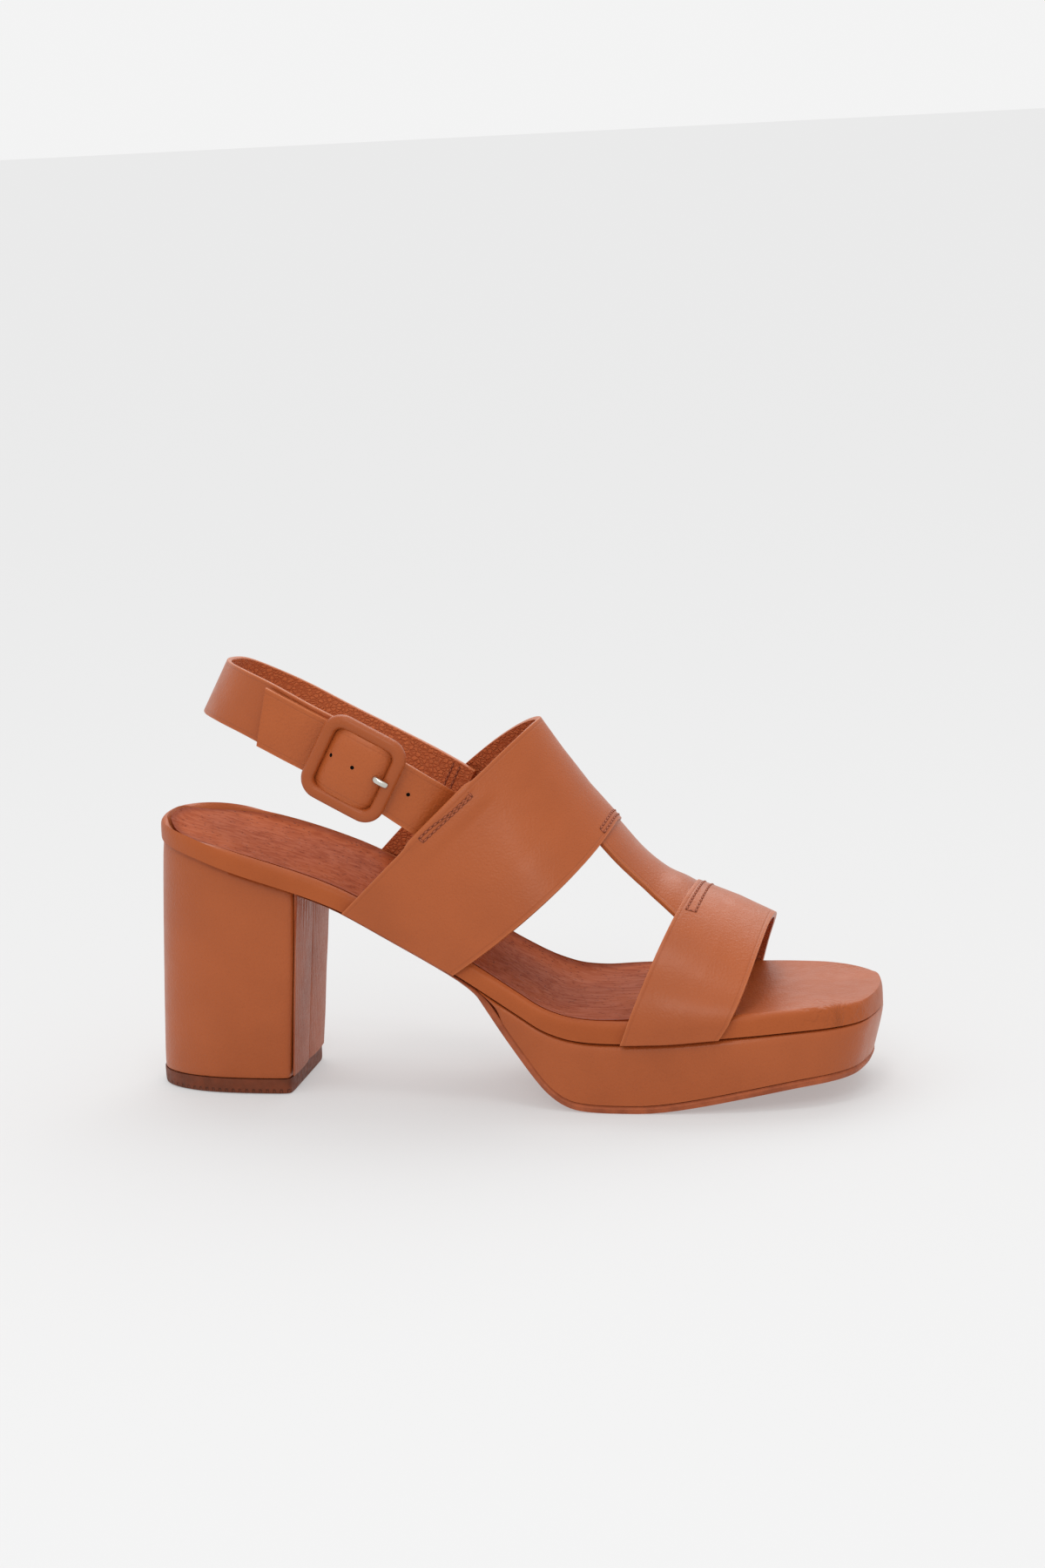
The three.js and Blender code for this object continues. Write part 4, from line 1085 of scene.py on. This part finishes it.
@dataclass
class Band:
    """A band of the upper, from seam to seam over the foot."""

    name: str
    last: Last
    sections: tuple[Section, ...]
    height: float
    thickness: float = 2.0
    gap: float = 0.3
    along: int = 64
    around: int = 210
    skirt: float = 0.055
    side_softness: float = 0.06
    fold: float = 0.55
    push_way: tuple[float, float] = (0.05, 0.25)
    bulges: tuple[Bulge, ...] = ()

    @property
    def centre(self) -> Vector:
        """A point on the inner side of the whole band."""
        middle = self.sections[len(self.sections) // 2]
        return place(middle.crest * self.last.length, 0, self.last.ball_height)

    def point(self, u: float, v: float) -> Vector:
        """Point of the inner face, with the bulges over what lies under the band.

        Args:
            u: Share from the rear edge to the front edge.
            v: Share from the outer seam over the crest to the inner seam.

        Returns:
            The point.
        """
        side = -1 if v < 0.5 else 1
        push = sum(bulge.height_at(u, v) for bulge in self.bulges)
        return self.plain(u, v) + Vector((self.push_way[0], side, self.push_way[1])).normalized() * push * MM

    def rows(self, u0: float, u1: float, v0: float, v1: float, drift: float = 0.0) -> list[list[Spot]]:
        """Closed box of stitches: two rows across the band and their short ends.

        Args:
            u0: Row nearer to the rear edge.
            u1: The other row.
            v0: Where both start.
            v1: Where both end.
            drift: How much further forward the rows are at their end.

        Returns:
            The paths.
        """
        def spot(u: float, v: float) -> Spot:
            return skin(self.point, u, v, self.centre, self.thickness * MM)

        shares = [k / 40 for k in range(41)]
        long = [[spot(u + drift * t, v0 + (v1 - v0) * t) for t in shares] for u in (u0, u1)]
        short = [[spot(u0 + (u1 - u0) * t + shift, v) for t in shares]
                 for v, shift in ((v0, 0.0), (v1, drift))]
        return long + short

    def plain(self, u: float, v: float) -> Vector:
        """Point of the inner face without the bulges."""
        spot = u * (len(self.sections) - 1)
        i = min(int(spot), len(self.sections) - 2)
        row = self.sections[i].mixed(self.sections[i + 1], spot - i)
        last = self.last
        side = -1 if v < 0.5 else 1
        foot = (row.lateral if side < 0 else row.medial) * last.length
        sweep = row.sweep_lateral if side < 0 else row.sweep_medial
        crest_x = row.crest * last.length
        crest_z = last.ball_height + row.rise * self.height
        foot_z = last.rim(side, foot) - last.edge
        climb = crest_z - foot_z
        t = 1 - abs(2 * v - 1)
        if t < self.skirt:
            slope = ((crest_x - foot) * sweep + row.bow * last.length * math.pi) / climb
            rim_slope = last.rim(side, foot + 0.5) - last.rim(side, foot - 0.5)
            drop = (last.rand_height - last.edge) / (1 - rim_slope * slope) * (1 - t / self.skirt)
            x = foot - slope * drop
            return place(x, side * (last.half_width(side, x) + self.gap), foot_z - drop)
        angle = (t - self.skirt) / (1 - self.skirt) * math.pi / 2
        power = 2 / row.full
        high = math.sin(angle) ** power
        near = math.cos(angle)
        spread = near * ((near * near + self.side_softness) / (1 + self.side_softness)) ** ((power - 1) / 2)
        run = 1 - (1 - high) ** sweep
        x = foot + (crest_x - foot) * run + row.bow * last.length * math.sin(math.pi * high)
        width = last.half_width(side, x) + self.gap
        lean = row.lean * last.ball_width * high * high
        return place(x, lean + side * width * spread, foot_z + climb * high)

    def build(self, outer: bpy.types.Material, inner: bpy.types.Material) -> bpy.types.Object:
        """Make the band.

        Args:
            outer: Outer leather.
            inner: Lining.

        Returns:
            The piece.
        """
        panel = curved_panel(self.name, lambda u, v: self.point(v, u), self.around, self.along, self.centre,
                             edge_rich)
        wall(panel, self.thickness * MM, outer, inner, self.fold * MM)
        return fit(panel, Slot.LEATHER, "upper")


@dataclass
class TeeStrap:
    """Strap along the crest that joins the two bands, tucked under both."""

    last: Last
    height: float = INSTEP_HEIGHT
    width: float = 31.0
    crown: float = 24.0
    tuck: float = 1.4
    offset: float = 0.03
    thickness: float = 2.0
    fold: float = 0.5
    faces: tuple[int, int] = (60, 40)
    rows: tuple = (
        (0.617, 0.7, 0.45, 1.5), (0.643, 0.615, 0.45, 1.42), (0.667, 0.535, 0.452, 1.13),
        (0.687, 0.484, 0.468, 1.0), (0.708, 0.444, 0.516, 0.95), (0.731, 0.416, 0.6, 0.93),
        (0.75, 0.386, 0.66, 0.78), (0.775, 0.36, 0.68, 0.75),
    )

    def __post_init__(self) -> None:
        """Turn the table into curves."""
        at = [row[0] * self.last.length for row in self.rows]
        self.rise = SmoothCurve(at, [row[1] for row in self.rows])
        self.half = SmoothCurve(at, [row[2] for row in self.rows])
        self.bend = SmoothCurve(at, [row[3] for row in self.rows])

    def point(self, u: float, v: float) -> Vector:
        """Point of the inner face.

        Args:
            u: Share from the instep end to the front end.
            v: Share from the outer edge to the inner edge.

        Returns:
            The point.
        """
        first, final = self.rows[0][0] * self.last.length, self.rows[-1][0] * self.last.length
        x = first + (final - first) * u
        across = (2 * v - 1) * self.half(x) * self.width
        drop = self.bend(x) * across * across / (2 * self.crown)
        z = self.last.ball_height + self.rise(x) * self.height - drop - self.tuck
        return place(x, self.offset * self.last.ball_width + across, z)

    def build(self, outer: bpy.types.Material, inner: bpy.types.Material) -> bpy.types.Object:
        """Make the strap.

        Args:
            outer: Outer leather.
            inner: Lining.

        Returns:
            The piece.
        """
        centre = place(0.69 * self.last.length, 0, self.last.ball_height)
        panel = curved_panel("tee_strap", self.point, *self.faces, centre, edge_rich)
        wall(panel, self.thickness * MM, outer, inner, self.fold * MM)
        return fit(panel, Slot.LEATHER, "upper")


@dataclass
class StrapFrame:
    """Directions of the heel strap at the buckle and the sizes that its pieces share."""

    height: float = 133.5
    back: float = 23.2
    slope: float = math.radians(28.6)
    spread: float = 58.0
    reach: float = 57.2
    lift: float = 5.9
    end: float = 98.25
    wall: float = 1.6
    gap: float = 0.3
    bar_radius: float = 1.2
    eye_wall: float = 0.8

    @property
    def along(self) -> Vector:
        """Direction along the strap towards the toe."""
        return Vector((math.cos(self.slope), 0, -math.sin(self.slope)))

    @property
    def across(self) -> Vector:
        """Direction across the strap, upwards."""
        return Vector((math.sin(self.slope), 0, math.cos(self.slope)))

    @property
    def floor(self) -> float:
        """Depth of the buckle strap's inner face where it lies on the heel strap."""
        return self.wall + self.gap

    @property
    def bar_depth(self) -> float:
        """Depth of the bar's middle."""
        return self.floor + self.wall + self.gap + self.bar_radius - 0.8

    @property
    def crown(self) -> float:
        """Depth of the buckle strap's inner face where it passes over the bar."""
        return self.bar_depth + self.bar_radius + 2 * self.gap + self.eye_wall

    @property
    def inside(self) -> Vector:
        """A point on the inner side of the buckle strap."""
        return self.local(0, 0, -60)

    def spot(self, reach: float, side: float, lift: float) -> Vector:
        """Point at a reach along the strap, a side and a lift, in millimetres."""
        start = Vector((self.back, 0, self.height))
        p = start + self.along * reach + Vector((0, side, 0)) + self.across * lift
        return place(*p)

    def local(self, along: float, across: float, out: float) -> Vector:
        """Point in the buckle's own axes, in millimetres."""
        return (self.spot(self.reach, -self.spread / 2, self.lift)
                + (self.along * along + self.across * across + Vector((0, -1, 0)) * out) * MM)


@dataclass
class HeelStrap:
    """Strap round the back of the heel, its ends under the buckle and inside the instep band."""

    frame: StrapFrame
    width: float = 19.6
    fold: float = 0.5
    row_start: float = 0.08
    faces: tuple[int, int] = (220, 24)
    line: tuple = (
        (0.84, -0.5, 0.35, 0), (0.6, -0.5, 0.35, 0), (0.36, -0.475, 0.34, 0), (0.16, -0.375, 0.24, 0),
        (0.04, -0.205, 0.1, 0), (0, 0, 0, 0), (0.023, 0.205, -0.05, 0), (0.093, 0.375, -0.13, 0),
        (0.21, 0.475, -0.17, 0), (0.379, 0.495, -0.18, 0), (0.553, 0.465, -0.13, -0.05),
        (0.728, 0.4, -0.055, -0.14), (0.874, 0.345, -0.025, -0.2),
    )

    def __post_init__(self) -> None:
        """Lay out the strap's middle line and its directions across."""
        f = self.frame
        eye = f.bar_depth - (f.bar_radius + f.gap + f.eye_wall) + f.eye_wall / 2 - f.wall
        points, crosses = [f.local(0, 0, eye)], [f.across.copy()]
        for reach, side, lift, lean in self.line:
            span = f.end if side > 0 else f.reach
            points.append(f.spot(reach * span, side * f.spread, lift * self.width))
            crosses.append(f.across + Vector((0, lean, 0)))
        self.middle, self.cross = SmoothPath(points), SmoothPath(crosses)

    def point(self, u: float, v: float) -> Vector:
        """Point of the inner face.

        Args:
            u: Share from the buckle to the inner end.
            v: Share across, from the lower edge to the upper edge.

        Returns:
            The point.
        """
        share = self.middle.share_at(u)
        return self.middle.raw(share) + self.cross.raw(share).normalized() * (v - 0.5) * self.width * MM

    def build(self, outer: bpy.types.Material, inner: bpy.types.Material) -> bpy.types.Object:
        """Make the strap.

        Args:
            outer: Outer leather.
            inner: Lining.

        Returns:
            The piece.
        """
        centre = self.frame.spot(45, 0, 0)
        panel = curved_panel("heel_strap_loop", self.point, *self.faces, centre, edge_rich)
        wall(panel, self.frame.wall * MM, outer, inner, self.fold * MM)
        return fit(panel, Slot.LEATHER, "heel_strap")

    def end_rows(self, first: float, second: float) -> list[list[Spot]]:
        """Two rows across the strap's inner face near its inner end.

        Args:
            first: Share along the strap of one row.
            second: Share of the other row.

        Returns:
            The paths.
        """
        outside = self.frame.spot(60, 200, 0)
        shares = [self.row_start + (1 - 2 * self.row_start) * k / 30 for k in range(31)]
        return [[skin(self.point, u, v, outside, 0.0) for v in shares] for u in (first, second)]


@dataclass
class BuckleStrap:
    """Strap from inside the instep band under the frame, over its bar and along the heel strap."""

    frame: StrapFrame
    width: float = 18.6
    tail: float = 39.0
    tail_cut: float = math.radians(16)
    tail_trim: float = 4.0
    window: float = 9.0
    window_width: float = 20.3
    window_crown: float = 1.3
    window_soft: float = 1.6
    fold: float = 0.45
    faces: tuple[int, int] = (150, 24)
    holes: tuple[float, ...] = (-7.3, 0.0, 7.3, 18.3)
    hole_rise: float = 0.9
    hole_radius: float = 0.72
    hole_depth: float = 2.6
    lip_radius: float = 0.14
    line: tuple = (
        (-1, 0, 0, 0), (-0.6, 0, 0, 0), (-0.305, 0, 0, 0), (-0.262, 0.25, 0, 0), (-0.22, 0.58, 0, 0),
        (-0.167, 0.86, 0, 0), (-0.09, 0.98, 0, 0), (0, 1, 0, 0), (0.085, 0.98, 0, 0), (0.158, 0.86, 0, 0),
        (0.21, 0.58, 0, 0), (0.253, 0.25, 0, 0.01), (0.297, 0.02, 0, 0.02), (0.36, -0.22, 0.02, 0.045),
        (0.5, -0.68, 0.1, 0.11), (0.75, -1.85, 0.3, 0.24), (1, -3, 0.45, 0.36),
    )

    def __post_init__(self) -> None:
        """Lay out the strap's middle line and its directions across."""
        f = self.frame
        anchor = f.end - f.reach
        points, crosses = [], []
        for along, out, turn, drop in self.line:
            run = along * (self.tail if along < 0 else anchor)
            points.append(Vector((run, -drop * self.width, f.floor + (f.crown - f.floor) * out)))
            crosses.append(Vector((0, 1, -turn)))
        self.middle, self.cross = SmoothPath(points), SmoothPath(crosses)

    def flat(self, u: float, v: float) -> Vector:
        """Point of the inner face in the buckle's own axes."""
        share = self.middle.share_at(u)
        middle = self.middle.raw(share)
        window = smoothstep(-abs(middle.x), -self.window - self.window_soft, -self.window)
        width = self.width + (self.window_width - self.width) * window
        crown = Vector((0, 0, self.window_crown * window * (0.4 - (2 * v - 1) ** 4)))
        return middle + self.cross.raw(share).normalized() * (v - 0.5) * width + crown

    def point(self, u: float, v: float) -> Vector:
        """Point of the inner face.

        Args:
            u: Share from the tail to the anchor.
            v: Share across, from the lower edge to the upper edge.

        Returns:
            The point.
        """
        p = self.flat(u, v)
        cut = self.tail_trim / math.cos(self.tail_cut) - p.y * math.tan(self.tail_cut)
        x = p.x + cut * smoothstep(-u, -0.25, 0.0)
        return self.frame.local(x, p.y, p.z)

    def build(self, outer: bpy.types.Material, inner: bpy.types.Material,
              hole: bpy.types.Material) -> bpy.types.Object:
        """Make the strap.

        Args:
            outer: Outer leather.
            inner: Lining.
            hole: Painted shade for the inside of the holes.

        Returns:
            The piece.
        """
        centre = self.frame.inside
        panel = curved_panel("buckle_strap_tongue", self.point, *self.faces, centre, edge_rich)
        wall(panel, self.frame.wall * MM, outer, inner, self.fold * MM)
        self.punch(panel, hole)
        return fit(panel, Slot.LEATHER, "buckle_strap")

    def outer_spot(self, along: float) -> Spot:
        """Point and normal on the outer face, on the line of the holes.

        Args:
            along: Place along the strap from the bar, in millimetres.

        Returns:
            The point and the normal.
        """
        low, high = 0.0, 1.0
        for _ in range(40):
            middle = (low + high) / 2
            if self.flat(middle, 0.5).x < along:
                low = middle
            else:
                high = middle
        v = 0.5 + self.hole_rise / self.width
        return skin(self.point, low, v, self.frame.inside, self.frame.wall * MM)

    def punch(self, panel: bpy.types.Object, hole: bpy.types.Material) -> None:
        """Punch the row of holes, each with a slightly raised lip.

        Args:
            panel: The strap.
            hole: Painted shade, dark material of the holes' inside.
        """
        lips = []
        for along in self.holes:
            point, normal = self.outer_spot(along)
            turn = normal.to_track_quat("Z", "Y").to_euler()
            bpy.ops.object.select_all(action="DESELECT")
            bpy.ops.mesh.primitive_cylinder_add(vertices=24, radius=self.hole_radius * MM,
                                                depth=self.hole_depth * MM, location=point, rotation=turn)
            cutter = bpy.context.active_object
            # The walls of each cut take the cutter's painted shade.
            cutter.data.materials.append(hole)
            cut = panel.modifiers.new("hole", "BOOLEAN")
            cut.object, cut.operation, cut.solver = cutter, "DIFFERENCE", "EXACT"
            cut.material_mode = "TRANSFER"
            apply_all(panel)
            bpy.data.objects.remove(cutter)
            bpy.ops.object.select_all(action="DESELECT")
            bpy.ops.mesh.primitive_torus_add(major_radius=(self.hole_radius + 0.08) * MM,
                                             minor_radius=self.lip_radius * MM, major_segments=24,
                                             minor_segments=8, location=point - normal * 0.05 * MM,
                                             rotation=turn)
            lips.append(bpy.context.active_object)
        for lip in lips:
            settle(lip)
            lip.data.materials.append(panel.data.materials[0])
        alone(lips[0])
        for lip in lips[1:]:
            lip.select_set(True)
        bpy.ops.object.join()
        ring = bpy.context.active_object
        ring.name = ring.data.name = "strap_hole_lips"
        soft_shade(ring, ROUND_EDGE)
        fit(ring, Slot.LEATHER, "buckle_strap")


@dataclass
class Sole:
    """Footbed, sock, platform, outsole and heel."""

    frame: dict
    finishes: Wardrobe

    def dress(self, node: str, name: str, material: bpy.types.Material, slot: Slot, levels: int = 2,
              crease_over: float = 62.0) -> bpy.types.Object:
        """Refine one node and give it one finish.

        Args:
            node: CAD node.
            name: New piece's name.
            material: Its finish.
            slot: Record slot.
            levels: Subdivision levels.
            crease_over: Hard edge limit in degrees.

        Returns:
            The piece.
        """
        piece = refined(self.frame, node, name, levels, crease_over)
        piece.data.materials.append(material)
        return fit(piece, slot, node)

    def build(self) -> None:
        """Make every piece of the sole."""
        f = self.finishes
        self.dress("footbed", "footbed_wrap", f.wrap, Slot.LEATHER)
        sock = self.dress("sock", "sock_lining", f.sock, Slot.LINING)
        self.map_rim(sock)
        self.dress("platform", "platform_wrap", f.leather, Slot.LEATHER)
        self.dress("outsole", "outsole_sheet", f.rubber, Slot.RUBBER, 1, 25)
        self.dress("heel_tip", "heel_tip_rubber", f.tip, Slot.RUBBER)
        self.dress("heel_block", "heel_block_wrap", f.leather, Slot.LEATHER)
        BreastCover(f.breast).build()

    def map_rim(self, sock: bpy.types.Object) -> None:
        """Store each point's distance from the sock's rim, for its darkening towards the rim.

        Args:
            sock: The sock.
        """
        mesh = sock.data
        rim = {k for face in mesh.polygons if abs(face.normal.z) < 0.5 for k in face.vertices}
        tree = KDTree(len(rim))
        for k in rim:
            tree.insert((mesh.vertices[k].co.x, mesh.vertices[k].co.y, 0), k)
        tree.balance()
        away = [tree.find((p.co.x, p.co.y, 0))[2] / MM for p in mesh.vertices]
        write_edge_map(sock, [(0.0, distance) for distance in away])


@dataclass
class BreastCover:
    """Leather on the heel's breast, with its centre seam and the gathers under the waist."""

    finish: bpy.types.Material
    low: tuple = ((25.6, -21.8, 6.0), (23.4, 21.8, 6.0))
    high: tuple = ((31.35, -25.2, 68.6), (29.05, 25.2, 70.8))
    crown: float = 0.6
    crown_middle: float = 11.5
    crown_reach: float = 12.5
    gather: float = 0.16
    ripple: float = 0.07
    seam_depth: float = 0.42
    seam_half: float = 0.42
    thickness: float = 0.5
    fold: float = 0.2
    faces: tuple[int, int] = (130, 60)

    def point(self, u: float, v: float) -> Vector:
        """Point of the leather's inner face.

        Args:
            u: Share from the outer side to the inner side.
            v: Share from the tip upwards.

        Returns:
            The point.
        """
        low, high = (Vector(pair[0]).lerp(Vector(pair[1]), u) for pair in (self.low, self.high))
        p = low.lerp(high, v)
        seam = -0.5 + 0.5 * math.sin(3.2 * v) - p.y
        halves = self.crown * (1 - ((abs(p.y) - self.crown_middle) / self.crown_reach) ** 2)
        folds = self.gather * math.sin(p.y * 2.1 + 1.5 * v) * smoothstep(v, 0.62, 1.0)
        folds += self.ripple * math.sin(p.y * 3.7 + 2.0 * math.sin(2.3 * v))
        relief = halves + folds - self.seam_depth * math.exp(-(seam / self.seam_half) ** 2)
        return (p + Vector((1, 0, -0.09)).normalized() * relief) * MM

    def build(self) -> bpy.types.Object:
        """Make the cover."""
        cover = curved_panel("heel_breast_cover", self.point, *self.faces, Vector((0, 0, 0.035)))
        wall(cover, self.thickness * MM, self.finish, self.finish, self.fold * MM)
        return fit(cover, Slot.LEATHER, "heel_block")


@dataclass
class Buckle:
    """Leather-covered frame, its bar and its prong."""

    frame: dict
    straps: StrapFrame
    finishes: Wardrobe
    half_width: float = 0.98
    half_height: float = 0.62
    rise: float = 0.9
    tip_share: float = 0.25
    end_power: int = 14
    faces: tuple[int, int] = (60, 24)
    line: tuple = ((-0.6, 4.2), (2.5, 4.3), (5.6, 5.4), (7.0, 7.0), (8.4, 8.7), (10.4, 9.0), (13.0, 8.75))

    def build(self) -> None:
        """Make the buckle's pieces."""
        cover = refined(self.frame, "buckle_frame", "buckle_cover", 1, 75)
        cover.data.materials.append(self.finishes.cover)
        fit(cover, Slot.LEATHER, "buckle_frame")
        for slot in self.frame["nodes"]["buckle_bar"].material_slots:
            slot.material = self.finishes.steel
        self.prong()

    def prong(self) -> None:
        """Make the prong: from the bar up through the strap's hole, then flat over the frame."""
        path = SmoothPath([Vector((along, 0, out)) for along, out in self.line])

        def point(u: float, v: float) -> Vector:
            share = path.share_at(u)
            ahead = path.raw(min(share + 0.01, 1)) - path.raw(max(share - 0.01, 0))
            up = Vector((-ahead.z, 0, ahead.x)).normalized()
            full = (1 - abs(2 * u - 1) ** self.end_power) ** 0.5
            turn = 2 * math.pi * v
            p = path.raw(share) + up * math.sin(turn) * self.half_height * full
            side = math.cos(turn) * self.half_width * (self.tip_share + (1 - self.tip_share) * full)
            return self.straps.local(p.x, self.rise + side * min(full * 4, 1), p.z)

        prong = curved_panel("prong_steel", point, *self.faces, self.straps.local(9, self.rise, 8.8))
        alone(prong)
        bpy.ops.object.mode_set(mode="EDIT")
        bpy.ops.mesh.select_all(action="SELECT")
        bpy.ops.mesh.remove_doubles(threshold=MERGE_WITHIN / 2)
        bpy.ops.mesh.normals_make_consistent(inside=False)
        bpy.ops.object.mode_set(mode="OBJECT")
        prong.data.materials.append(self.finishes.steel)
        soft_shade(prong, ROUND_EDGE)
        fit(prong, Slot.STEEL, "prong")


@dataclass
class Studio:
    """Paper sweep, soft lamps and the camera at the photograph's angle."""

    azimuth: float = math.radians(13.35)
    elevation: float = math.radians(10.35)
    roll: float = math.radians(-2.86)
    distance: float = 1203.0
    focal: float = 4228.0
    aim_x: float = 123.3
    aim_z: float = 99.35
    frame_height: float = 1800.0
    target: tuple = (0.1, 0.0, 0.06)
    world_light: float = 0.9
    sky: tuple = ("top_back", (-0.1, 0.85, 1.0), 50, 1.0)
    lamps: tuple = (("overhead", (0.18, -0.34, 1.25), 0.26, 1.7), ("front", (0.2, -1.4, 1.05), 0.4, 3.0))

    def camera(self) -> None:
        """Create the camera."""
        a, e, r = self.azimuth, self.elevation, self.roll
        back = Vector((math.sin(a) * math.cos(e), -math.cos(a) * math.cos(e), math.sin(e)))
        right = Vector((math.cos(a), math.sin(a), 0))
        up = back.cross(right).normalized()
        turned_right = right * math.cos(r) + up * math.sin(r)
        turned_up = up * math.cos(r) - right * math.sin(r)
        data = bpy.data.cameras.new("camera")
        data.sensor_fit = "VERTICAL"
        data.sensor_height = 24.0
        data.lens = data.sensor_height * self.focal / self.frame_height
        data.clip_end = 50
        camera = bpy.data.objects.new("camera", data)
        eye = place(self.aim_x, 0, self.aim_z) + back * self.distance * MM
        turn = Matrix((turned_right, turned_up, back)).transposed()
        camera.matrix_world = Matrix.Translation(eye) @ turn.to_4x4()
        bpy.context.scene.collection.objects.link(camera)
        bpy.context.scene.camera = camera

    def sun(self, name: str, source: tuple[float, float, float], spread: float, strength: float) -> None:
        """Add an even light from one side of the sky.

        Args:
            name: Lamp name.
            source: Direction that the light comes from.
            spread: How wide the source is, in degrees.
            strength: Strength on a surface that faces it.
        """
        data = bpy.data.lights.new(name, "SUN")
        data.angle = math.radians(spread)
        data.energy = strength
        lamp = bpy.data.objects.new(name, data)
        lamp.rotation_euler = (-Vector(source)).to_track_quat("-Z", "Y").to_euler()
        bpy.context.scene.collection.objects.link(lamp)

    def lamp(self, name: str, spot: tuple[float, float, float], size: float, power: float) -> None:
        """Add a soft square lamp aimed at the shoe.

        Args:
            name: Lamp name.
            spot: Where it stands, in metres.
            size: Side of the square in metres.
            power: Power in watts.
        """
        data = bpy.data.lights.new(name, "AREA")
        data.shape = "SQUARE"
        data.size = size
        data.energy = power
        lamp = bpy.data.objects.new(name, data)
        lamp.location = spot
        lamp.rotation_euler = (Vector(self.target) - Vector(spot)).to_track_quat("-Z", "Y").to_euler()
        bpy.context.scene.collection.objects.link(lamp)

    def sweep(self) -> None:
        """Lay the paper: a floor that runs far out behind the shoe."""
        bpy.ops.object.select_all(action="DESELECT")
        bpy.ops.mesh.primitive_plane_add(size=120, location=(0, 0, 0))
        paper = bpy.context.active_object
        paper.name = "paper_sweep"
        paper.data.materials.append(PaperSweep("paper_pale").make())

    def build(self) -> None:
        """Set up the whole studio."""
        self.camera()
        self.sweep()
        world = bpy.data.worlds.new("studio")
        world.use_nodes = True
        background = world.node_tree.nodes["Background"]
        background.inputs["Color"].default_value = (1, 1, 1, 1)
        background.inputs["Strength"].default_value = self.world_light
        bpy.context.scene.world = world
        self.sun(*self.sky)
        for lamp in self.lamps:
            self.lamp(*lamp)
        bpy.context.scene.view_settings.view_transform = "Standard"


INSTEP_SECTIONS = (
    Section(0.302, 0.274, 0.538, 1.0, 0.035, 1.9, 1.0, 0.75, 0.0),
    Section(0.354, 0.324, 0.567, 0.88, 0.035, 1.82, 1.15, 0.95, -0.004),
    Section(0.406, 0.377, 0.602, 0.75, 0.03, 1.72, 1.36, 1.2, -0.009),
    Section(0.459, 0.432, 0.643, 0.623, 0.025, 1.6, 1.62, 1.45, -0.013),
)
FRONT_SECTIONS = (
    Section(0.685, 0.694, 0.749, 0.985, 0.035, 1.7, 0.87, 0.9, 0.002),
    Section(0.753, 0.757, 0.803, 0.835, 0.037, 1.68, 1.6, 1.3, 0.0),
    Section(0.822, 0.811, 0.854, 0.672, 0.037, 1.62, 2.6, 1.2, -0.005),
)


STRAP_BULGES = (
    Bulge(-0.1, 0.13, 0.16, 0.25, 0.75, 0.1),
    Bulge(0.01, 0.035, 0.145, 0.258, 0.3, 0.02),
)
FRONT_HEIGHT = 35.0
FRONT_FACES = 48
ANCHOR_BOX = (0.03, 0.069, 0.159, 0.253, 0.02)
INSTEP_BOX = (0.93, 0.968, 0.395, 0.605)
FRONT_BOX = (0.075, 0.165, 0.36, 0.64)
STRAP_END_ROWS = (0.955, 0.969)


def main() -> None:
    """Build every piece in order."""
    logging.basicConfig(level=logging.INFO, format="%(message)s")
    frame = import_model()
    finishes = Wardrobe()
    Studio().build()
    last = Last()
    Sole(frame, finishes).build()
    sewing = Stitching(finishes.thread, finishes.needle)
    instep = Band("instep_band", last, INSTEP_SECTIONS, INSTEP_HEIGHT, bulges=STRAP_BULGES)
    instep.build(finishes.band, finishes.lining)
    front = Band("front_band", last, FRONT_SECTIONS, FRONT_HEIGHT, along=FRONT_FACES)
    front.build(finishes.band, finishes.lining)
    TeeStrap(last).build(finishes.band, finishes.lining)
    sewing.sew("stitches_instep", instep.rows(*ANCHOR_BOX) + instep.rows(*INSTEP_BOX), "upper")
    sewing.sew("stitches_front", front.rows(*FRONT_BOX), "upper")
    straps = StrapFrame()
    heel = HeelStrap(straps)
    heel.build(finishes.band, finishes.lining)
    sewing.sew("stitches_heel_strap", heel.end_rows(*STRAP_END_ROWS), "heel_strap")
    BuckleStrap(straps).build(finishes.strap, finishes.lining, finishes.hole)
    Buckle(frame, straps, finishes).build()


if __name__ == "__main__":
    main()
